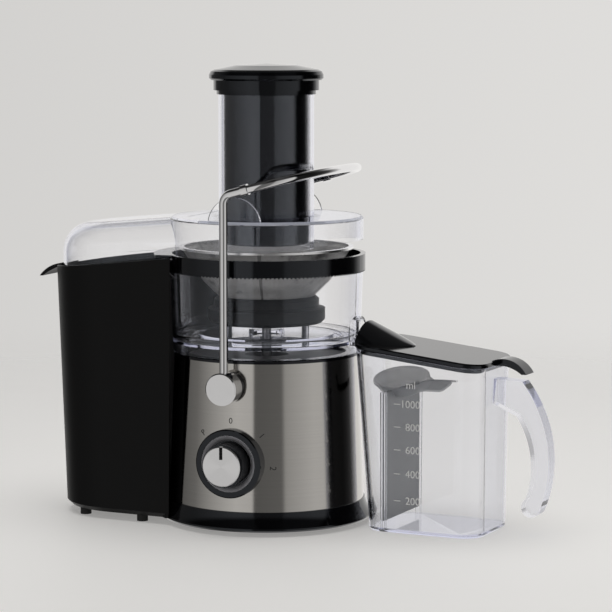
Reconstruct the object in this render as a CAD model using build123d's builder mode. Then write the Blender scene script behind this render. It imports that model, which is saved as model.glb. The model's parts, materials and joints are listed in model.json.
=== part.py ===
"""Centrifugal juicer: motor base, clear bowl and lid, filter basket, pusher, locking bail, pulp bin and jug.

Millimetres, +Z up, standing on z = 0, -Y is the front with the speed knob. The origin lies under the
middle of the whole outline, and the spindle stands at spindle_x beside it.
"""

import os
from math import acos, atan2, cos, degrees, hypot, radians, sin, sqrt, tan

from build123d import *

os.makedirs("parts", exist_ok=True)

# Motor base
foot_r = 9.0
foot_h = 6.0
plinth_z = 4.0
plinth_lip_h = 3.0
plinth_top = 20.0
plinth_flare = 7.1
plinth_flare_r = 35.2
plinth_ledge = 8.0
wrap_bottom_r = 84.4
wrap_taper = 4.6
wrap_top_r = wrap_bottom_r - wrap_taper
plinth_r = wrap_bottom_r + plinth_flare
cover_inset = 4.4
cover_r = wrap_bottom_r - cover_inset
cover_t = 3.0
foot_inset = 18.0
foot_circle_r = cover_r - foot_inset
deck_z = 145.0
sheet_t = 0.8
skin_gap = 0.2
shell_t = 3.0
deck_t = 3.5
wrap_half_angle = 128.0
seam_angle = 0.8
trim_h = 3.0
trim_width = 12.0
fit_gap = 0.3
run_gap = 0.05
screw_head_r = 3.5
screw_r = 1.8
vent_count = 16
vent_w = 3.0
vent_l = 14.0

# Motor, hung on the spindle below the deck
shaft_r = 4.0
stator_r = 42.0
stator_h = 40.0
stator_drop = 83.0
stator_z = deck_z - stator_drop
air_gap = 0.6
armature_r = 25.0
slot_count = 12
slot_w = 3.0
slot_depth = 6.0
coil_h = 9.0
coil_w = 10.0
bearing_r = 11.0
bearing_t = 7.0
bracket_t = 4.0
bracket_r = stator_r + bracket_t
bracket_arm_w = 20.0
lower_bracket_drop = 38.0
lower_bracket_z = stator_z - lower_bracket_drop
shaft_z = lower_bracket_z - bracket_t / 2
upper_bracket_drop = 21.0
upper_bracket_z = deck_z - upper_bracket_drop
commutator_r = 13.0
commutator_drop = 25.0
commutator_z = stator_z - commutator_drop
commutator_h = 13.0
brush_w = 9.0
fan_r = stator_r - bracket_t
fan_drop = 11.5
fan_z = upper_bracket_z - fan_drop
fan_h = 9.0
fan_blades = 10
mount_r = 6.0
mount_circle_r = 38.0

# Speed knob on the front, measured from the steel at its height
knob_z = 61.0
bezel_r = 29.3
bezel_ring_w = 5.0
bezel_proud = 5.6
bezel_depth = 3.5
knob_r = 18.5
knob_cap_r = knob_r - 1.5
knob_proud = 14.8
knob_cap_t = 3.2
knob_draft = 1.0
knob_shaft_r = 3.0
pointer_l = 11.0
pointer_w = 3.0
pointer_depth = 1.2
switch_w = 30.0
switch_h = 26.0
switch_d = 18.0
switch_gap = 4.9
switch_neck_r = 5.0
interlock_x = 28.0
interlock_gap = 17.8
interlock_w = 20.0
interlock_d = 10.0
interlock_h = 16.0
gland_r = 7.0
gland_bore_r = 3.5
gland_z = 34.0
gland_reach = 8.0

# Clear bowl, its collar and the clear lid
bowl_z = deck_z + trim_h
bowl_foot_over = 1.2
bowl_foot_r = wrap_top_r + bowl_foot_over
bowl_spread = 2.4
bowl_r = bowl_foot_r + bowl_spread
bowl_wall = 2.6
bowl_foot_h = 8.0
bowl_floor = bowl_z + bowl_foot_h
bowl_h = 73.0
bowl_rim = bowl_z + bowl_h
bowl_step_r = 58.0
bowl_step_h = 4.0
bowl_neck_r = 15.5
bowl_neck_h = 10.0
bowl_neck_top = bowl_floor + bowl_neck_h
seal_h = 5.0
spout_w = 18.0
spout_h = 7.0
spout_out = 13.6
spout_reach = bowl_r + spout_out
arch_w = 28.0
arch_h = 24.0
arch_top = bowl_floor + arch_h
arch_out = 3.6
arch_reach = bowl_r + arch_out
collar_over = 2.2
collar_r = bowl_r + collar_over
collar_lap = 3.0
collar_z = bowl_rim - collar_lap
collar_h = 14.0
collar_top = collar_z + collar_h
collar_w = 4.4
apron_out = 11.4
apron_reach = collar_r + apron_out
apron_t = 3.0
lid_over = 0.2
lid_r = bowl_r + lid_over
lid_h = 32.0
lid_top = collar_top + lid_h
lid_wall = 2.5
lid_edge = 2.5
fin_r = 24.0
fin_rise = 20.0
fin_t = 2.5
fin_inset = 12.6
fin_y = lid_r - fin_inset
chute_r = 41.0
chute_wall = 2.8
chute_lift = 4.0
chute_bottom = collar_top + chute_lift
chute_h = 132.0
chute_top = chute_bottom + chute_h
chute_flange_w = 5.0
chute_flange_r = chute_r + chute_flange_w
chute_flange_t = 3.0

# Locking bail
bail_drop = 19.0
bail_z = deck_z - bail_drop
bail_rod_r = 3.65
bail_grip_r = 3.5
bail_collar_r = 4.7
bail_collar_l = 6.0
bail_leg_rise = 23.0
bail_leg_top = lid_top + bail_leg_rise
bail_reach = 69.0
bail_rise = 18.5
bail_bend_r = 9.0
bail_grip_start = 17.0
bail_side_share = 0.7
bail_tip_share = 0.42
hub_r = 13.75
hub_stand = 8.9
hub_l = 14.6
hub_step = 2.0
hub_socket = 7.5
hub_leg_set = 6.6
pivot_r = 4.0
pivot_boss_r = 12.0
pivot_flange_r = 15.0
pivot_flange_t = 2.5

# Pulp cover on the lid, and the pulp bin below it
bin_reach = 210.0
bin_lip_out = 22.0
cover_end_x = bin_lip_out - bin_reach
cover_half_w = 58.0
cover_slope = 5.0
cover_corner_r = 26.0
cover_nest = 2.0
bin_gap = 0.6
bin_wall = 2.5
bin_bottom = 6.0
bin_side_over = 8.5
bin_half_w = cover_half_w + bin_side_over
bin_end_over = 2.0
bin_end_r = cover_half_w + bin_end_over
bin_end_x = cover_end_x + cover_half_w + 2 * bin_end_over
bin_lean = 1.4
bin_taper = 0.7
bin_rim_drop = 2.0
bin_rim_inner_z = collar_top - bin_rim_drop
bin_rim_fall = 14.0
bin_rim_outer_z = bin_rim_inner_z - bin_rim_fall
bin_entry_drop = 6.0
bin_entry_z = bin_rim_outer_z - bin_entry_drop
bin_entry_half_w = cover_half_w + bin_end_over
bin_edge = 4.0
bin_lip_w = 34.0
bin_lip_t = 3.0
bin_lip_drop = 10.0
bin_foot_r = 4.8
bin_outer_foot_set = 29.0
bin_outer_foot_y = 41.0
bin_inner_foot_gap = 12.5
bin_inner_foot_y = 53.0

# Pusher
pusher_gap = 1.7
pusher_r = chute_r - chute_wall - pusher_gap
pusher_wall = 3.0
pusher_lift = 8.0
pusher_bottom = collar_top + pusher_lift
cap_seat = 0.3
cap_step_over = 1.8
cap_step_r = chute_r + cap_step_over
cap_step_h = 3.5
cap_collar_over = 2.7
cap_collar_r = cap_step_r + cap_collar_over
cap_collar_h = 8.6
cap_brim_over = 3.8
cap_brim_r = cap_collar_r + cap_brim_over
cap_brim_h = 9.0
cap_round = 4.5
cap_dome_h = 5.0
cap_dome_share = 0.55
cap_dome_fall = 1.5

# Filter basket, from its rim down
basket_clear = 10.4
basket_rim_r = bowl_r - basket_clear
basket_lift = 4.0
basket_rim_z = collar_top + basket_lift
basket_waist_in = 18.4
basket_waist_r = basket_rim_r - basket_waist_in
basket_waist_drop = 28.0
basket_waist_z = basket_rim_z - basket_waist_drop
basket_floor_in = 12.6
basket_floor_r = basket_waist_r - basket_floor_in
basket_floor_drop = 12.5
basket_floor_z = basket_waist_z - basket_floor_drop
basket_sheet = 1.0
rim_w = 4.0
rim_t = 2.0
hub_skirt_out = 8.6
hub_skirt_r = basket_floor_r + hub_skirt_out
hub_neck_out = 3.4
hub_neck_r = basket_floor_r + hub_neck_out
hub_skirt_drop = 23.5
hub_skirt_z = basket_floor_z - hub_skirt_drop
hub_shoulder_drop = 11.0
hub_shoulder_z = basket_floor_z - hub_shoulder_drop
hub_wall = 3.0
coupling_r = 13.0
coupling_drop = 27.5
coupling_z = basket_floor_z - coupling_drop
coupling_lugs = 6
lug_w = 4.0
lug_l = 3.0
grater_inset = 1.5
grater_r = basket_floor_r - grater_inset
grater_t = 1.2
grater_rows = 8
grater_teeth = 4
tooth_l = 4.0
tooth_h = 2.2
tooth_angle = 60.0

# Juice jug, turned a little and set back as it stands beside the base
jug_gap = 9.0
jug_y = 12.0
jug_turn = -4.5
jug_floor_l = 104.0
jug_floor_w = 82.0
jug_x = plinth_r + jug_gap + jug_floor_l / 2
jug_rim_over_l = 14.0
jug_rim_l = jug_floor_l + jug_rim_over_l
jug_rim_over_w = 4.0
jug_rim_w = jug_floor_w + jug_rim_over_w
jug_rim_shift = -5.5
jug_corner_r = 19.0
jug_wall = 2.5
jug_floor_t = 3.0
jug_rim_drop = 7.9
jug_rim_z = bowl_floor - jug_rim_drop
jug_rim_slope = 6.4
jug_rim_spare = 10.9
jug_top_z = jug_rim_z + jug_rim_spare
jug_groove_set = 18.5
jug_groove_x = jug_groove_set - jug_floor_l / 2
jug_groove_t = 2.4
jug_groove_depth = 2.0
separator_t = 2.0
separator_lift = 6.0
separator_bottom = jug_floor_t + separator_lift
separator_drop = 29.1
separator_top = jug_rim_z - separator_drop
boat_left_out = 23.0
boat_left = jug_groove_x - boat_left_out
boat_right_out = 45.0
boat_right = jug_groove_x + boat_right_out
boat_half_w = 26.0
boat_rim_h = 9.0
jug_lid_t = 4.5
jug_lid_over = 1.6
jug_lid_skirt = 4.0
jug_lid_skirt_t = 2.0
jug_lid_gap = 0.3
jug_skirt_gap = 1.5
hood_half_w = 30.0
hood_y = -6.0
hood_wall = 2.2
hood_set = 2.5
hood_mouth_x = jug_rim_shift - jug_rim_l / 2 + hood_set
hood_l = 42.0
hood_end_x = hood_mouth_x + hood_l
hood_rise = 14.5
hood_end_rise = 1.0
tab_w = 18.0
tab_out = 31.0
tab_reach = jug_floor_l / 2 + tab_out
tab_t = 4.5
tab_drop = 10.0
handle_out = 50.5
jug_reach = jug_x + jug_floor_l / 2 + handle_out
handle_w = 15.0
handle_drop = 16.0
handle_top = jug_rim_z - handle_drop
handle_knee_out = 27.0
handle_knee = jug_floor_l / 2 + handle_knee_out
handle_crook_out = 22.0
handle_crook = jug_floor_l / 2 + handle_crook_out
handle_crook_h = 10.5
handle_t = 15.0
handle_tip_share = 1.3
handle_mid_drop = 82.0
handle_mid = handle_top - handle_mid_drop
handle_root_h = 20.0
handle_tip_drop = 115.6
handle_tip = handle_top - handle_tip_drop

# The origin lies under the middle of the whole outline
spindle_x = (bin_reach - jug_reach) / 2

spindle = Axis((spindle_x, 0, 0), (0, 0, 1))


def level(z):
    """Horizontal plane at height z, centred on the spindle."""
    return Plane(origin=(spindle_x, 0, z))


def half_section(angle=0.0):
    """Upright plane through the spindle: local x is the radius at that angle, local y the height."""
    a = radians(angle)
    return Plane(origin=(spindle_x, 0, 0), x_dir=(cos(a), sin(a), 0), z_dir=(sin(a), -cos(a), 0))


def front(y):
    """Upright plane y in front of the spindle: local x runs to the right, local y up, normal to the front."""
    return Plane(origin=(spindle_x, -y, 0), x_dir=(1, 0, 0), z_dir=(0, -1, 0))


def skin_r(z):
    """Outer radius of the tapered steel wrap at height z."""
    return wrap_bottom_r + (wrap_top_r - wrap_bottom_r) * (z - plinth_top) / (deck_z - plinth_top)


# Motor base

cover_top = foot_h + cover_t
screw_circle_r = cover_r - plinth_ledge / 2
plinth_inner_r = cover_r - plinth_ledge
backing = sheet_t + skin_gap

with BuildPart() as feet:
    with BuildSketch(level(0)):
        with PolarLocations(foot_circle_r, 4, start_angle=45):
            Circle(foot_r)
    extrude(amount=foot_h)
    chamfer(feet.edges().group_by(Axis.Z)[0], length=foot_r / 8)
feet.part.label = "feet"
export_step(feet.part, "parts/feet.step")

with BuildPart() as bottom_cover:
    with BuildSketch(level(foot_h)):
        Circle(cover_r)
        with PolarLocations(stator_r, vent_count):
            Rectangle(vent_l, vent_w, mode=Mode.SUBTRACT)
        with PolarLocations(screw_circle_r, 4):
            Circle(screw_r + skin_gap, mode=Mode.SUBTRACT)
    extrude(amount=cover_t)
bottom_cover.part.label = "bottom_cover"
export_step(bottom_cover.part, "parts/bottom_cover.step")

screw_tip = cover_top + (plinth_top - cover_top) / 2
with BuildPart() as bottom_screws:
    with BuildSketch(level(foot_h)):
        with PolarLocations(screw_circle_r, 4):
            Circle(screw_head_r)
    extrude(amount=-screw_head_r / 2)
    with BuildSketch(level(foot_h)):
        with PolarLocations(screw_circle_r, 4):
            Circle(screw_r)
    extrude(amount=screw_tip - foot_h)
bottom_screws.part.label = "bottom_screws"
export_step(bottom_screws.part, "parts/bottom_screws.step")

with BuildPart() as base_plinth:
    with BuildSketch(half_section()):
        with BuildLine():
            flare_foot = (plinth_r, plinth_z + plinth_lip_h)
            flare_top = (wrap_bottom_r + sheet_t, plinth_top)
            RadiusArc(flare_foot, flare_top, plinth_flare_r)
            Polyline(
                flare_top,
                (plinth_inner_r, plinth_top),
                (plinth_inner_r, cover_top),
                (cover_r + fit_gap, cover_top),
                (cover_r + fit_gap, plinth_z),
                (plinth_r - plinth_lip_h / 2, plinth_z),
                (plinth_r, plinth_z + plinth_lip_h / 2),
                flare_foot,
            )
        make_face()
    revolve(axis=spindle)
    with BuildSketch(level(cover_top)):
        with PolarLocations(screw_circle_r, 4):
            Circle(screw_r + skin_gap)
    extrude(amount=screw_tip - cover_top + fit_gap, mode=Mode.SUBTRACT)
base_plinth.part.label = "base_plinth"
export_step(base_plinth.part, "parts/base_plinth.step")

deck_hole_r = bearing_r + 2 * bracket_t
housing_r0 = skin_r(plinth_top) - backing
housing_r1 = skin_r(deck_z) - backing
with BuildPart() as motor_housing:
    with BuildSketch(half_section()):
        Polygon(
            (housing_r0, plinth_top),
            (housing_r1, deck_z),
            (deck_hole_r, deck_z),
            (deck_hole_r, deck_z - deck_t),
            (housing_r1 - shell_t, deck_z - deck_t),
            (housing_r0 - shell_t, plinth_top),
        )
    revolve(axis=spindle)
    with BuildSketch(front(0)):
        with Locations((0, bail_z)):
            Circle(pivot_boss_r + skin_gap)
    extrude(amount=wrap_bottom_r, both=True, mode=Mode.SUBTRACT)
    with BuildSketch(front(0)):
        with Locations((0, knob_z)):
            Circle(switch_neck_r + skin_gap)
    extrude(amount=wrap_bottom_r, mode=Mode.SUBTRACT)
    with BuildSketch(front(0)):
        with Locations((0, gland_z)):
            Circle(gland_r + skin_gap)
    extrude(amount=-wrap_bottom_r, mode=Mode.SUBTRACT)
motor_housing.part.label = "motor_housing"
export_step(motor_housing.part, "parts/motor_housing.step")

with BuildPart() as steel_wrap:
    with BuildSketch(half_section(-wrap_half_angle)):
        Polygon(
            (wrap_bottom_r - sheet_t, plinth_top),
            (wrap_bottom_r, plinth_top),
            (wrap_top_r, deck_z),
            (wrap_top_r - sheet_t, deck_z),
        )
    revolve(axis=spindle, revolution_arc=2 * wrap_half_angle)
    with BuildSketch(front(0)):
        with Locations((0, bail_z)):
            Circle(pivot_boss_r + skin_gap)
    extrude(amount=wrap_bottom_r, both=True, mode=Mode.SUBTRACT)
    with BuildSketch(front(0)):
        with Locations((0, knob_z)):
            Circle(switch_neck_r + skin_gap)
    extrude(amount=wrap_bottom_r, mode=Mode.SUBTRACT)
    with BuildSketch(front(0)):
        with Locations((0, gland_z)):
            Circle(gland_r + skin_gap)
    extrude(amount=-wrap_bottom_r, mode=Mode.SUBTRACT)
steel_wrap.part.label = "steel_wrap"
export_step(steel_wrap.part, "parts/steel_wrap.step")

with BuildPart() as side_panel:
    with BuildSketch(half_section(wrap_half_angle + seam_angle)):
        Polygon(
            (wrap_bottom_r - sheet_t, plinth_top),
            (wrap_bottom_r, plinth_top),
            (wrap_top_r, deck_z),
            (wrap_top_r - sheet_t, deck_z),
        )
    revolve(axis=spindle, revolution_arc=360 - 2 * (wrap_half_angle + seam_angle))
side_panel.part.label = "side_panel"
export_step(side_panel.part, "parts/side_panel.step")

trim_r = wrap_top_r + sheet_t
with BuildPart() as deck_trim:
    with BuildSketch(half_section()):
        Polygon(
            (trim_r - trim_width, deck_z),
            (trim_r, deck_z),
            (trim_r, bowl_z - sheet_t),
            (trim_r - sheet_t, bowl_z),
            (trim_r - trim_width, bowl_z),
        )
    revolve(axis=spindle)
deck_trim.part.label = "deck_trim"
export_step(deck_trim.part, "parts/deck_trim.step")

# Universal motor, hung from the deck on rubber mounts

stator_top = stator_z + stator_h
lower_bearing_z = lower_bracket_z + bracket_t
upper_bearing_z = upper_bracket_z - bearing_t
bracket_top = upper_bracket_z + bracket_t
stator_bore_r = armature_r + air_gap
coupling_h = basket_floor_z - hub_wall - fit_gap - coupling_z
shaft_top = coupling_z + coupling_h

with BuildPart() as motor_shaft:
    with BuildSketch(level(shaft_z)):
        Circle(shaft_r)
    extrude(amount=shaft_top - shaft_z)
    chamfer(motor_shaft.edges().group_by(Axis.Z)[-1], length=shaft_r / 5)
motor_shaft.part.label = "motor_shaft"
export_step(motor_shaft.part, "parts/motor_shaft.step")

with BuildPart() as motor_stator:
    with BuildSketch(level(stator_z)):
        Circle(stator_r)
        Circle(stator_bore_r, mode=Mode.SUBTRACT)
        with PolarLocations(stator_bore_r, 2, start_angle=90):
            Rectangle(2 * coil_w, 2 * coil_w, mode=Mode.SUBTRACT)
    extrude(amount=stator_h)
motor_stator.part.label = "motor_stator"
export_step(motor_stator.part, "parts/motor_stator.step")

coil_r = stator_bore_r + air_gap
with BuildPart() as stator_coils:
    for end_z in (stator_z - coil_h, stator_top):
        for side in (90, 270):
            with BuildSketch(level(end_z)):
                Circle(coil_r + coil_w)
                Circle(coil_r, mode=Mode.SUBTRACT)
                with Locations(Location((0, 0, 0), side)):
                    with Locations((-stator_r, 0)):
                        Rectangle(2 * stator_r + coil_w, 2 * stator_r, mode=Mode.SUBTRACT)
            extrude(amount=coil_h)
stator_coils.part.label = "stator_coils"
export_step(stator_coils.part, "parts/stator_coils.step")

with BuildPart() as armature:
    with BuildSketch(level(stator_z)):
        Circle(armature_r)
        Circle(shaft_r, mode=Mode.SUBTRACT)
        with PolarLocations(armature_r, slot_count):
            Rectangle(2 * slot_depth, slot_w, mode=Mode.SUBTRACT)
    extrude(amount=stator_h)
armature.part.label = "armature"
export_step(armature.part, "parts/armature.step")

with BuildPart() as commutator:
    with BuildSketch(level(commutator_z)):
        Circle(commutator_r)
        Circle(shaft_r, mode=Mode.SUBTRACT)
    extrude(amount=commutator_h)
    with BuildSketch(level(commutator_z + commutator_h)):
        Circle(commutator_r + air_gap)
        Circle(shaft_r, mode=Mode.SUBTRACT)
    extrude(amount=shaft_r / 2)
commutator.part.label = "commutator"
export_step(commutator.part, "parts/commutator.step")

with BuildPart() as bearings:
    for bearing_z in (lower_bearing_z, upper_bearing_z):
        with BuildSketch(level(bearing_z)):
            Circle(bearing_r)
            Circle(shaft_r + run_gap, mode=Mode.SUBTRACT)
        extrude(amount=bearing_t)
bearings.part.label = "bearings"
export_step(bearings.part, "parts/bearings.step")

with BuildPart() as lower_bracket:
    with BuildSketch(level(lower_bracket_z)):
        Rectangle(2 * bracket_r, bracket_arm_w)
        Circle(bearing_r + bracket_t)
        Circle(shaft_r + bracket_t / 2, mode=Mode.SUBTRACT)
    extrude(amount=bracket_t)
    with BuildSketch(level(lower_bearing_z)):
        Circle(bearing_r + bracket_t)
        Circle(bearing_r + run_gap, mode=Mode.SUBTRACT)
    extrude(amount=bearing_t)
    with BuildSketch(level(lower_bearing_z)):
        with PolarLocations(stator_r - bracket_t, 2):
            Rectangle(bracket_t, bracket_arm_w)
    extrude(amount=stator_z - lower_bearing_z)
lower_bracket.part.label = "lower_bracket"
export_step(lower_bracket.part, "parts/lower_bracket.step")

brush_z = commutator_z + (commutator_h - brush_w) / 2
brush_near = commutator_r + fit_gap
brush_far = stator_r - 1.5 * bracket_t
with BuildPart() as brush_holders:
    with BuildSketch(level(brush_z)):
        with PolarLocations((brush_near + brush_far) / 2, 2):
            Rectangle(brush_far - brush_near, brush_w)
        Circle(brush_near, mode=Mode.SUBTRACT)
    extrude(amount=brush_w)
brush_holders.part.label = "brush_holders"
export_step(brush_holders.part, "parts/brush_holders.step")

with BuildPart() as upper_bracket:
    with BuildSketch(level(upper_bracket_z)):
        Rectangle(2 * bracket_r, bracket_arm_w)
        Rectangle(bracket_arm_w, 2 * bracket_r)
        Circle(bearing_r + bracket_t)
        Circle(shaft_r + bracket_t / 2, mode=Mode.SUBTRACT)
    extrude(amount=bracket_t)
    with BuildSketch(level(upper_bearing_z)):
        Circle(bearing_r + bracket_t)
        Circle(bearing_r + run_gap, mode=Mode.SUBTRACT)
    extrude(amount=bearing_t)
    with BuildSketch(level(stator_top)):
        with PolarLocations(bracket_r - bracket_t / 2, 2):
            Rectangle(bracket_t, bracket_arm_w)
    extrude(amount=upper_bracket_z - stator_top)
    with BuildSketch(level(stator_top)):
        with PolarLocations(bracket_r - bracket_t, 2):
            Rectangle(2 * bracket_t, bracket_arm_w)
    extrude(amount=bracket_t)
upper_bracket.part.label = "upper_bracket"
export_step(upper_bracket.part, "parts/upper_bracket.step")

with BuildPart() as cooling_fan:
    with BuildSketch(level(fan_z)):
        Circle(fan_r)
        Circle(shaft_r, mode=Mode.SUBTRACT)
    extrude(amount=bracket_t / 2)
    blade_inner = bearing_r + 2 * bracket_t
    with BuildSketch(level(fan_z)):
        with PolarLocations((blade_inner + fan_r) / 2, fan_blades):
            Rectangle(fan_r - blade_inner - air_gap, bracket_t / 2)
    extrude(amount=fan_h)
cooling_fan.part.label = "cooling_fan"
export_step(cooling_fan.part, "parts/cooling_fan.step")

with BuildPart() as motor_mounts:
    with BuildSketch(level(bracket_top)):
        with PolarLocations(mount_circle_r, 4):
            Circle(mount_r)
    extrude(amount=deck_z - deck_t - bracket_top)
motor_mounts.part.label = "motor_mounts"
export_step(motor_mounts.part, "parts/motor_mounts.step")

with BuildPart() as interlock_switch:
    with BuildSketch(level(deck_z - deck_t)):
        with Locations((interlock_x, housing_r1 - shell_t - interlock_gap)):
            Rectangle(interlock_w, interlock_d)
    extrude(amount=-interlock_h)
interlock_switch.part.label = "interlock_switch"
export_step(interlock_switch.part, "parts/interlock_switch.step")

cord_reach = skin_r(gland_z) + gland_reach
with BuildPart() as cord_gland:
    with BuildSketch(front(-cord_reach)):
        with Locations((0, gland_z)):
            Circle(gland_r)
            Circle(gland_bore_r, mode=Mode.SUBTRACT)
    extrude(amount=gland_reach + shell_t + gland_r)
    with BuildSketch(front(-cord_reach)):
        with Locations((0, gland_z)):
            Circle(gland_r + shell_t / 2)
            Circle(gland_bore_r, mode=Mode.SUBTRACT)
    extrude(amount=gland_reach - shell_t / 2)
cord_gland.part.label = "cord_gland"
export_step(cord_gland.part, "parts/cord_gland.step")

# Speed switch and knob

neck_front = skin_r(knob_z) - sheet_t
switch_front = skin_r(knob_z) - backing - shell_t - switch_gap
switch_back = switch_front - switch_d
bezel_front = skin_r(knob_z) + bezel_proud
bezel_floor = bezel_front - bezel_depth
knob_face = bezel_front + knob_proud
with BuildPart() as rotary_switch:
    with BuildSketch(front(switch_back)):
        with Locations((0, knob_z)):
            Rectangle(switch_w, switch_h)
            Circle(knob_shaft_r + run_gap, mode=Mode.SUBTRACT)
    extrude(amount=switch_front - switch_back)
    with BuildSketch(front(switch_front)):
        with Locations((0, knob_z)):
            Circle(switch_neck_r)
            Circle(knob_shaft_r + run_gap, mode=Mode.SUBTRACT)
    extrude(amount=neck_front - switch_front)
rotary_switch.part.label = "rotary_switch"
export_step(rotary_switch.part, "parts/rotary_switch.step")

bezel_seat = sqrt(wrap_top_r**2 - bezel_r**2) - shell_t
bezel_well_r = bezel_r - bezel_ring_w
with BuildPart() as knob_bezel:
    with BuildSketch(front(bezel_seat)):
        with Locations((0, knob_z)):
            Circle(bezel_r)
    extrude(amount=bezel_front - bezel_seat)
    chamfer(knob_bezel.edges().group_by(Axis.Y)[0], length=bezel_ring_w / 5)
    with BuildSketch(front(bezel_floor)):
        with Locations((0, knob_z)):
            Circle(bezel_well_r)
    extrude(amount=bezel_front - bezel_floor, mode=Mode.SUBTRACT)
    with BuildSketch(front(bezel_seat)):
        with Locations((0, knob_z)):
            Circle(knob_shaft_r + fit_gap)
    extrude(amount=bezel_front - bezel_seat, mode=Mode.SUBTRACT)
    with BuildSketch(half_section()):
        Polygon(
            (0, plinth_top),
            (wrap_bottom_r + skin_gap, plinth_top),
            (wrap_top_r + skin_gap, deck_z),
            (0, deck_z),
        )
    revolve(axis=spindle, mode=Mode.SUBTRACT)
knob_bezel.part.label = "knob_bezel"
export_step(knob_bezel.part, "parts/knob_bezel.step")

knob_back = bezel_floor + fit_gap
knob_cap_back = knob_face - knob_cap_t
knob_shaft_end = knob_cap_back - knob_cap_t
with BuildPart() as knob_shaft:
    with BuildSketch(front(switch_back)):
        with Locations((0, knob_z)):
            Circle(knob_shaft_r)
    extrude(amount=knob_shaft_end - switch_back)
knob_shaft.part.label = "knob_shaft"
export_step(knob_shaft.part, "parts/knob_shaft.step")

with BuildPart() as knob_body:
    with BuildSketch(front(knob_back)):
        with Locations((0, knob_z)):
            Circle(knob_r)
    extrude(amount=knob_cap_back - knob_back, taper=knob_draft)
    with BuildSketch(front(knob_back)):
        with Locations((0, knob_z)):
            Circle(knob_shaft_r)
    extrude(amount=knob_shaft_end - knob_back, mode=Mode.SUBTRACT)
knob_body.part.label = "knob_body"
export_step(knob_body.part, "parts/knob_body.step")

with BuildPart() as knob_cap:
    with BuildSketch(front(knob_cap_back)):
        with Locations((0, knob_z)):
            Circle(knob_cap_r)
    extrude(amount=knob_cap_t)
    chamfer(knob_cap.edges().group_by(Axis.Y)[0], length=knob_cap_t / 4)
    with BuildSketch(front(knob_face)):
        with Locations((0, knob_z + knob_cap_r - pointer_l)):
            Rectangle(pointer_w, pointer_l, align=(Align.CENTER, Align.MIN))
    extrude(amount=-pointer_depth, mode=Mode.SUBTRACT)
knob_cap.part.label = "knob_cap"
export_step(knob_cap.part, "parts/knob_cap.step")

# Locking bail, hinged on two bosses

hub_back = skin_r(bail_z) + hub_stand
hub_face = hub_back + hub_l
bail_leg_y = hub_back + hub_leg_set
boss_back = sqrt((skin_r(bail_z) - backing - shell_t) ** 2 - pivot_flange_r**2) - fit_gap - pivot_flange_t
boss_front = hub_back - fit_gap
pivot_end = hub_face - hub_step - pivot_r / 2
with BuildPart() as pivot_bosses:
    with BuildSketch(front(boss_back)):
        with Locations((0, bail_z)):
            Circle(pivot_flange_r)
    extrude(amount=pivot_flange_t)
    with BuildSketch(front(boss_back)):
        with Locations((0, bail_z)):
            Circle(pivot_boss_r)
    extrude(amount=boss_front - boss_back)
    with BuildSketch(front(boss_front)):
        with Locations((0, bail_z)):
            Circle(pivot_r)
    extrude(amount=pivot_end - boss_front)
    mirror(about=Plane.XZ)
pivot_bosses.part.label = "pivot_bosses"
export_step(pivot_bosses.part, "parts/pivot_bosses.step")

with BuildPart() as bail_hubs:
    with BuildSketch(front(hub_back)):
        with Locations((0, bail_z)):
            Circle(hub_r)
    extrude(amount=hub_face - hub_back)
    chamfer(bail_hubs.edges().group_by(Axis.Y)[0], length=hub_step / 2)
    with BuildSketch(front(hub_face)):
        with Locations((0, bail_z - hub_r / 4)):
            Rectangle(2 * hub_r, hub_r, align=(Align.CENTER, Align.MAX))
    extrude(amount=-hub_step, mode=Mode.SUBTRACT)
    with BuildSketch(front(hub_back)):
        with Locations((0, bail_z)):
            Circle(pivot_r + run_gap)
    extrude(amount=pivot_end + fit_gap - hub_back, mode=Mode.SUBTRACT)
    with BuildSketch(level(bail_z + hub_r - hub_socket)):
        with Locations((0, -bail_leg_y)):
            Circle(bail_rod_r)
    extrude(amount=hub_socket, mode=Mode.SUBTRACT)
    mirror(about=Plane.XZ)
bail_hubs.part.label = "bail_hubs"
export_step(bail_hubs.part, "parts/bail_hubs.step")

# The grip lies in a plane that climbs from the leg tops to the tip
grip_l = hypot(bail_reach, bail_rise)
grip_plane = Plane(
    origin=(spindle_x, 0, bail_leg_top),
    x_dir=(bail_reach, 0, bail_rise),
    z_dir=(-bail_rise, 0, bail_reach),
)
leg_foot = (spindle_x, -bail_leg_y, bail_z + hub_r - hub_socket)
leg_corner = (spindle_x, -bail_leg_y, bail_leg_top)
grip_end = grip_plane.from_local_coords((bail_grip_start, -bail_leg_y, 0))
with BuildPart() as bail_legs:
    with BuildLine() as leg_path:
        FilletPolyline(leg_foot, leg_corner, grip_end, radius=bail_bend_r)
    with BuildSketch(Plane(origin=leg_foot)):
        Circle(bail_rod_r)
    sweep(path=leg_path.wires()[0])
    mirror(about=Plane.XZ)
bail_legs.part.label = "bail_legs"
export_step(bail_legs.part, "parts/bail_legs.step")

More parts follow.
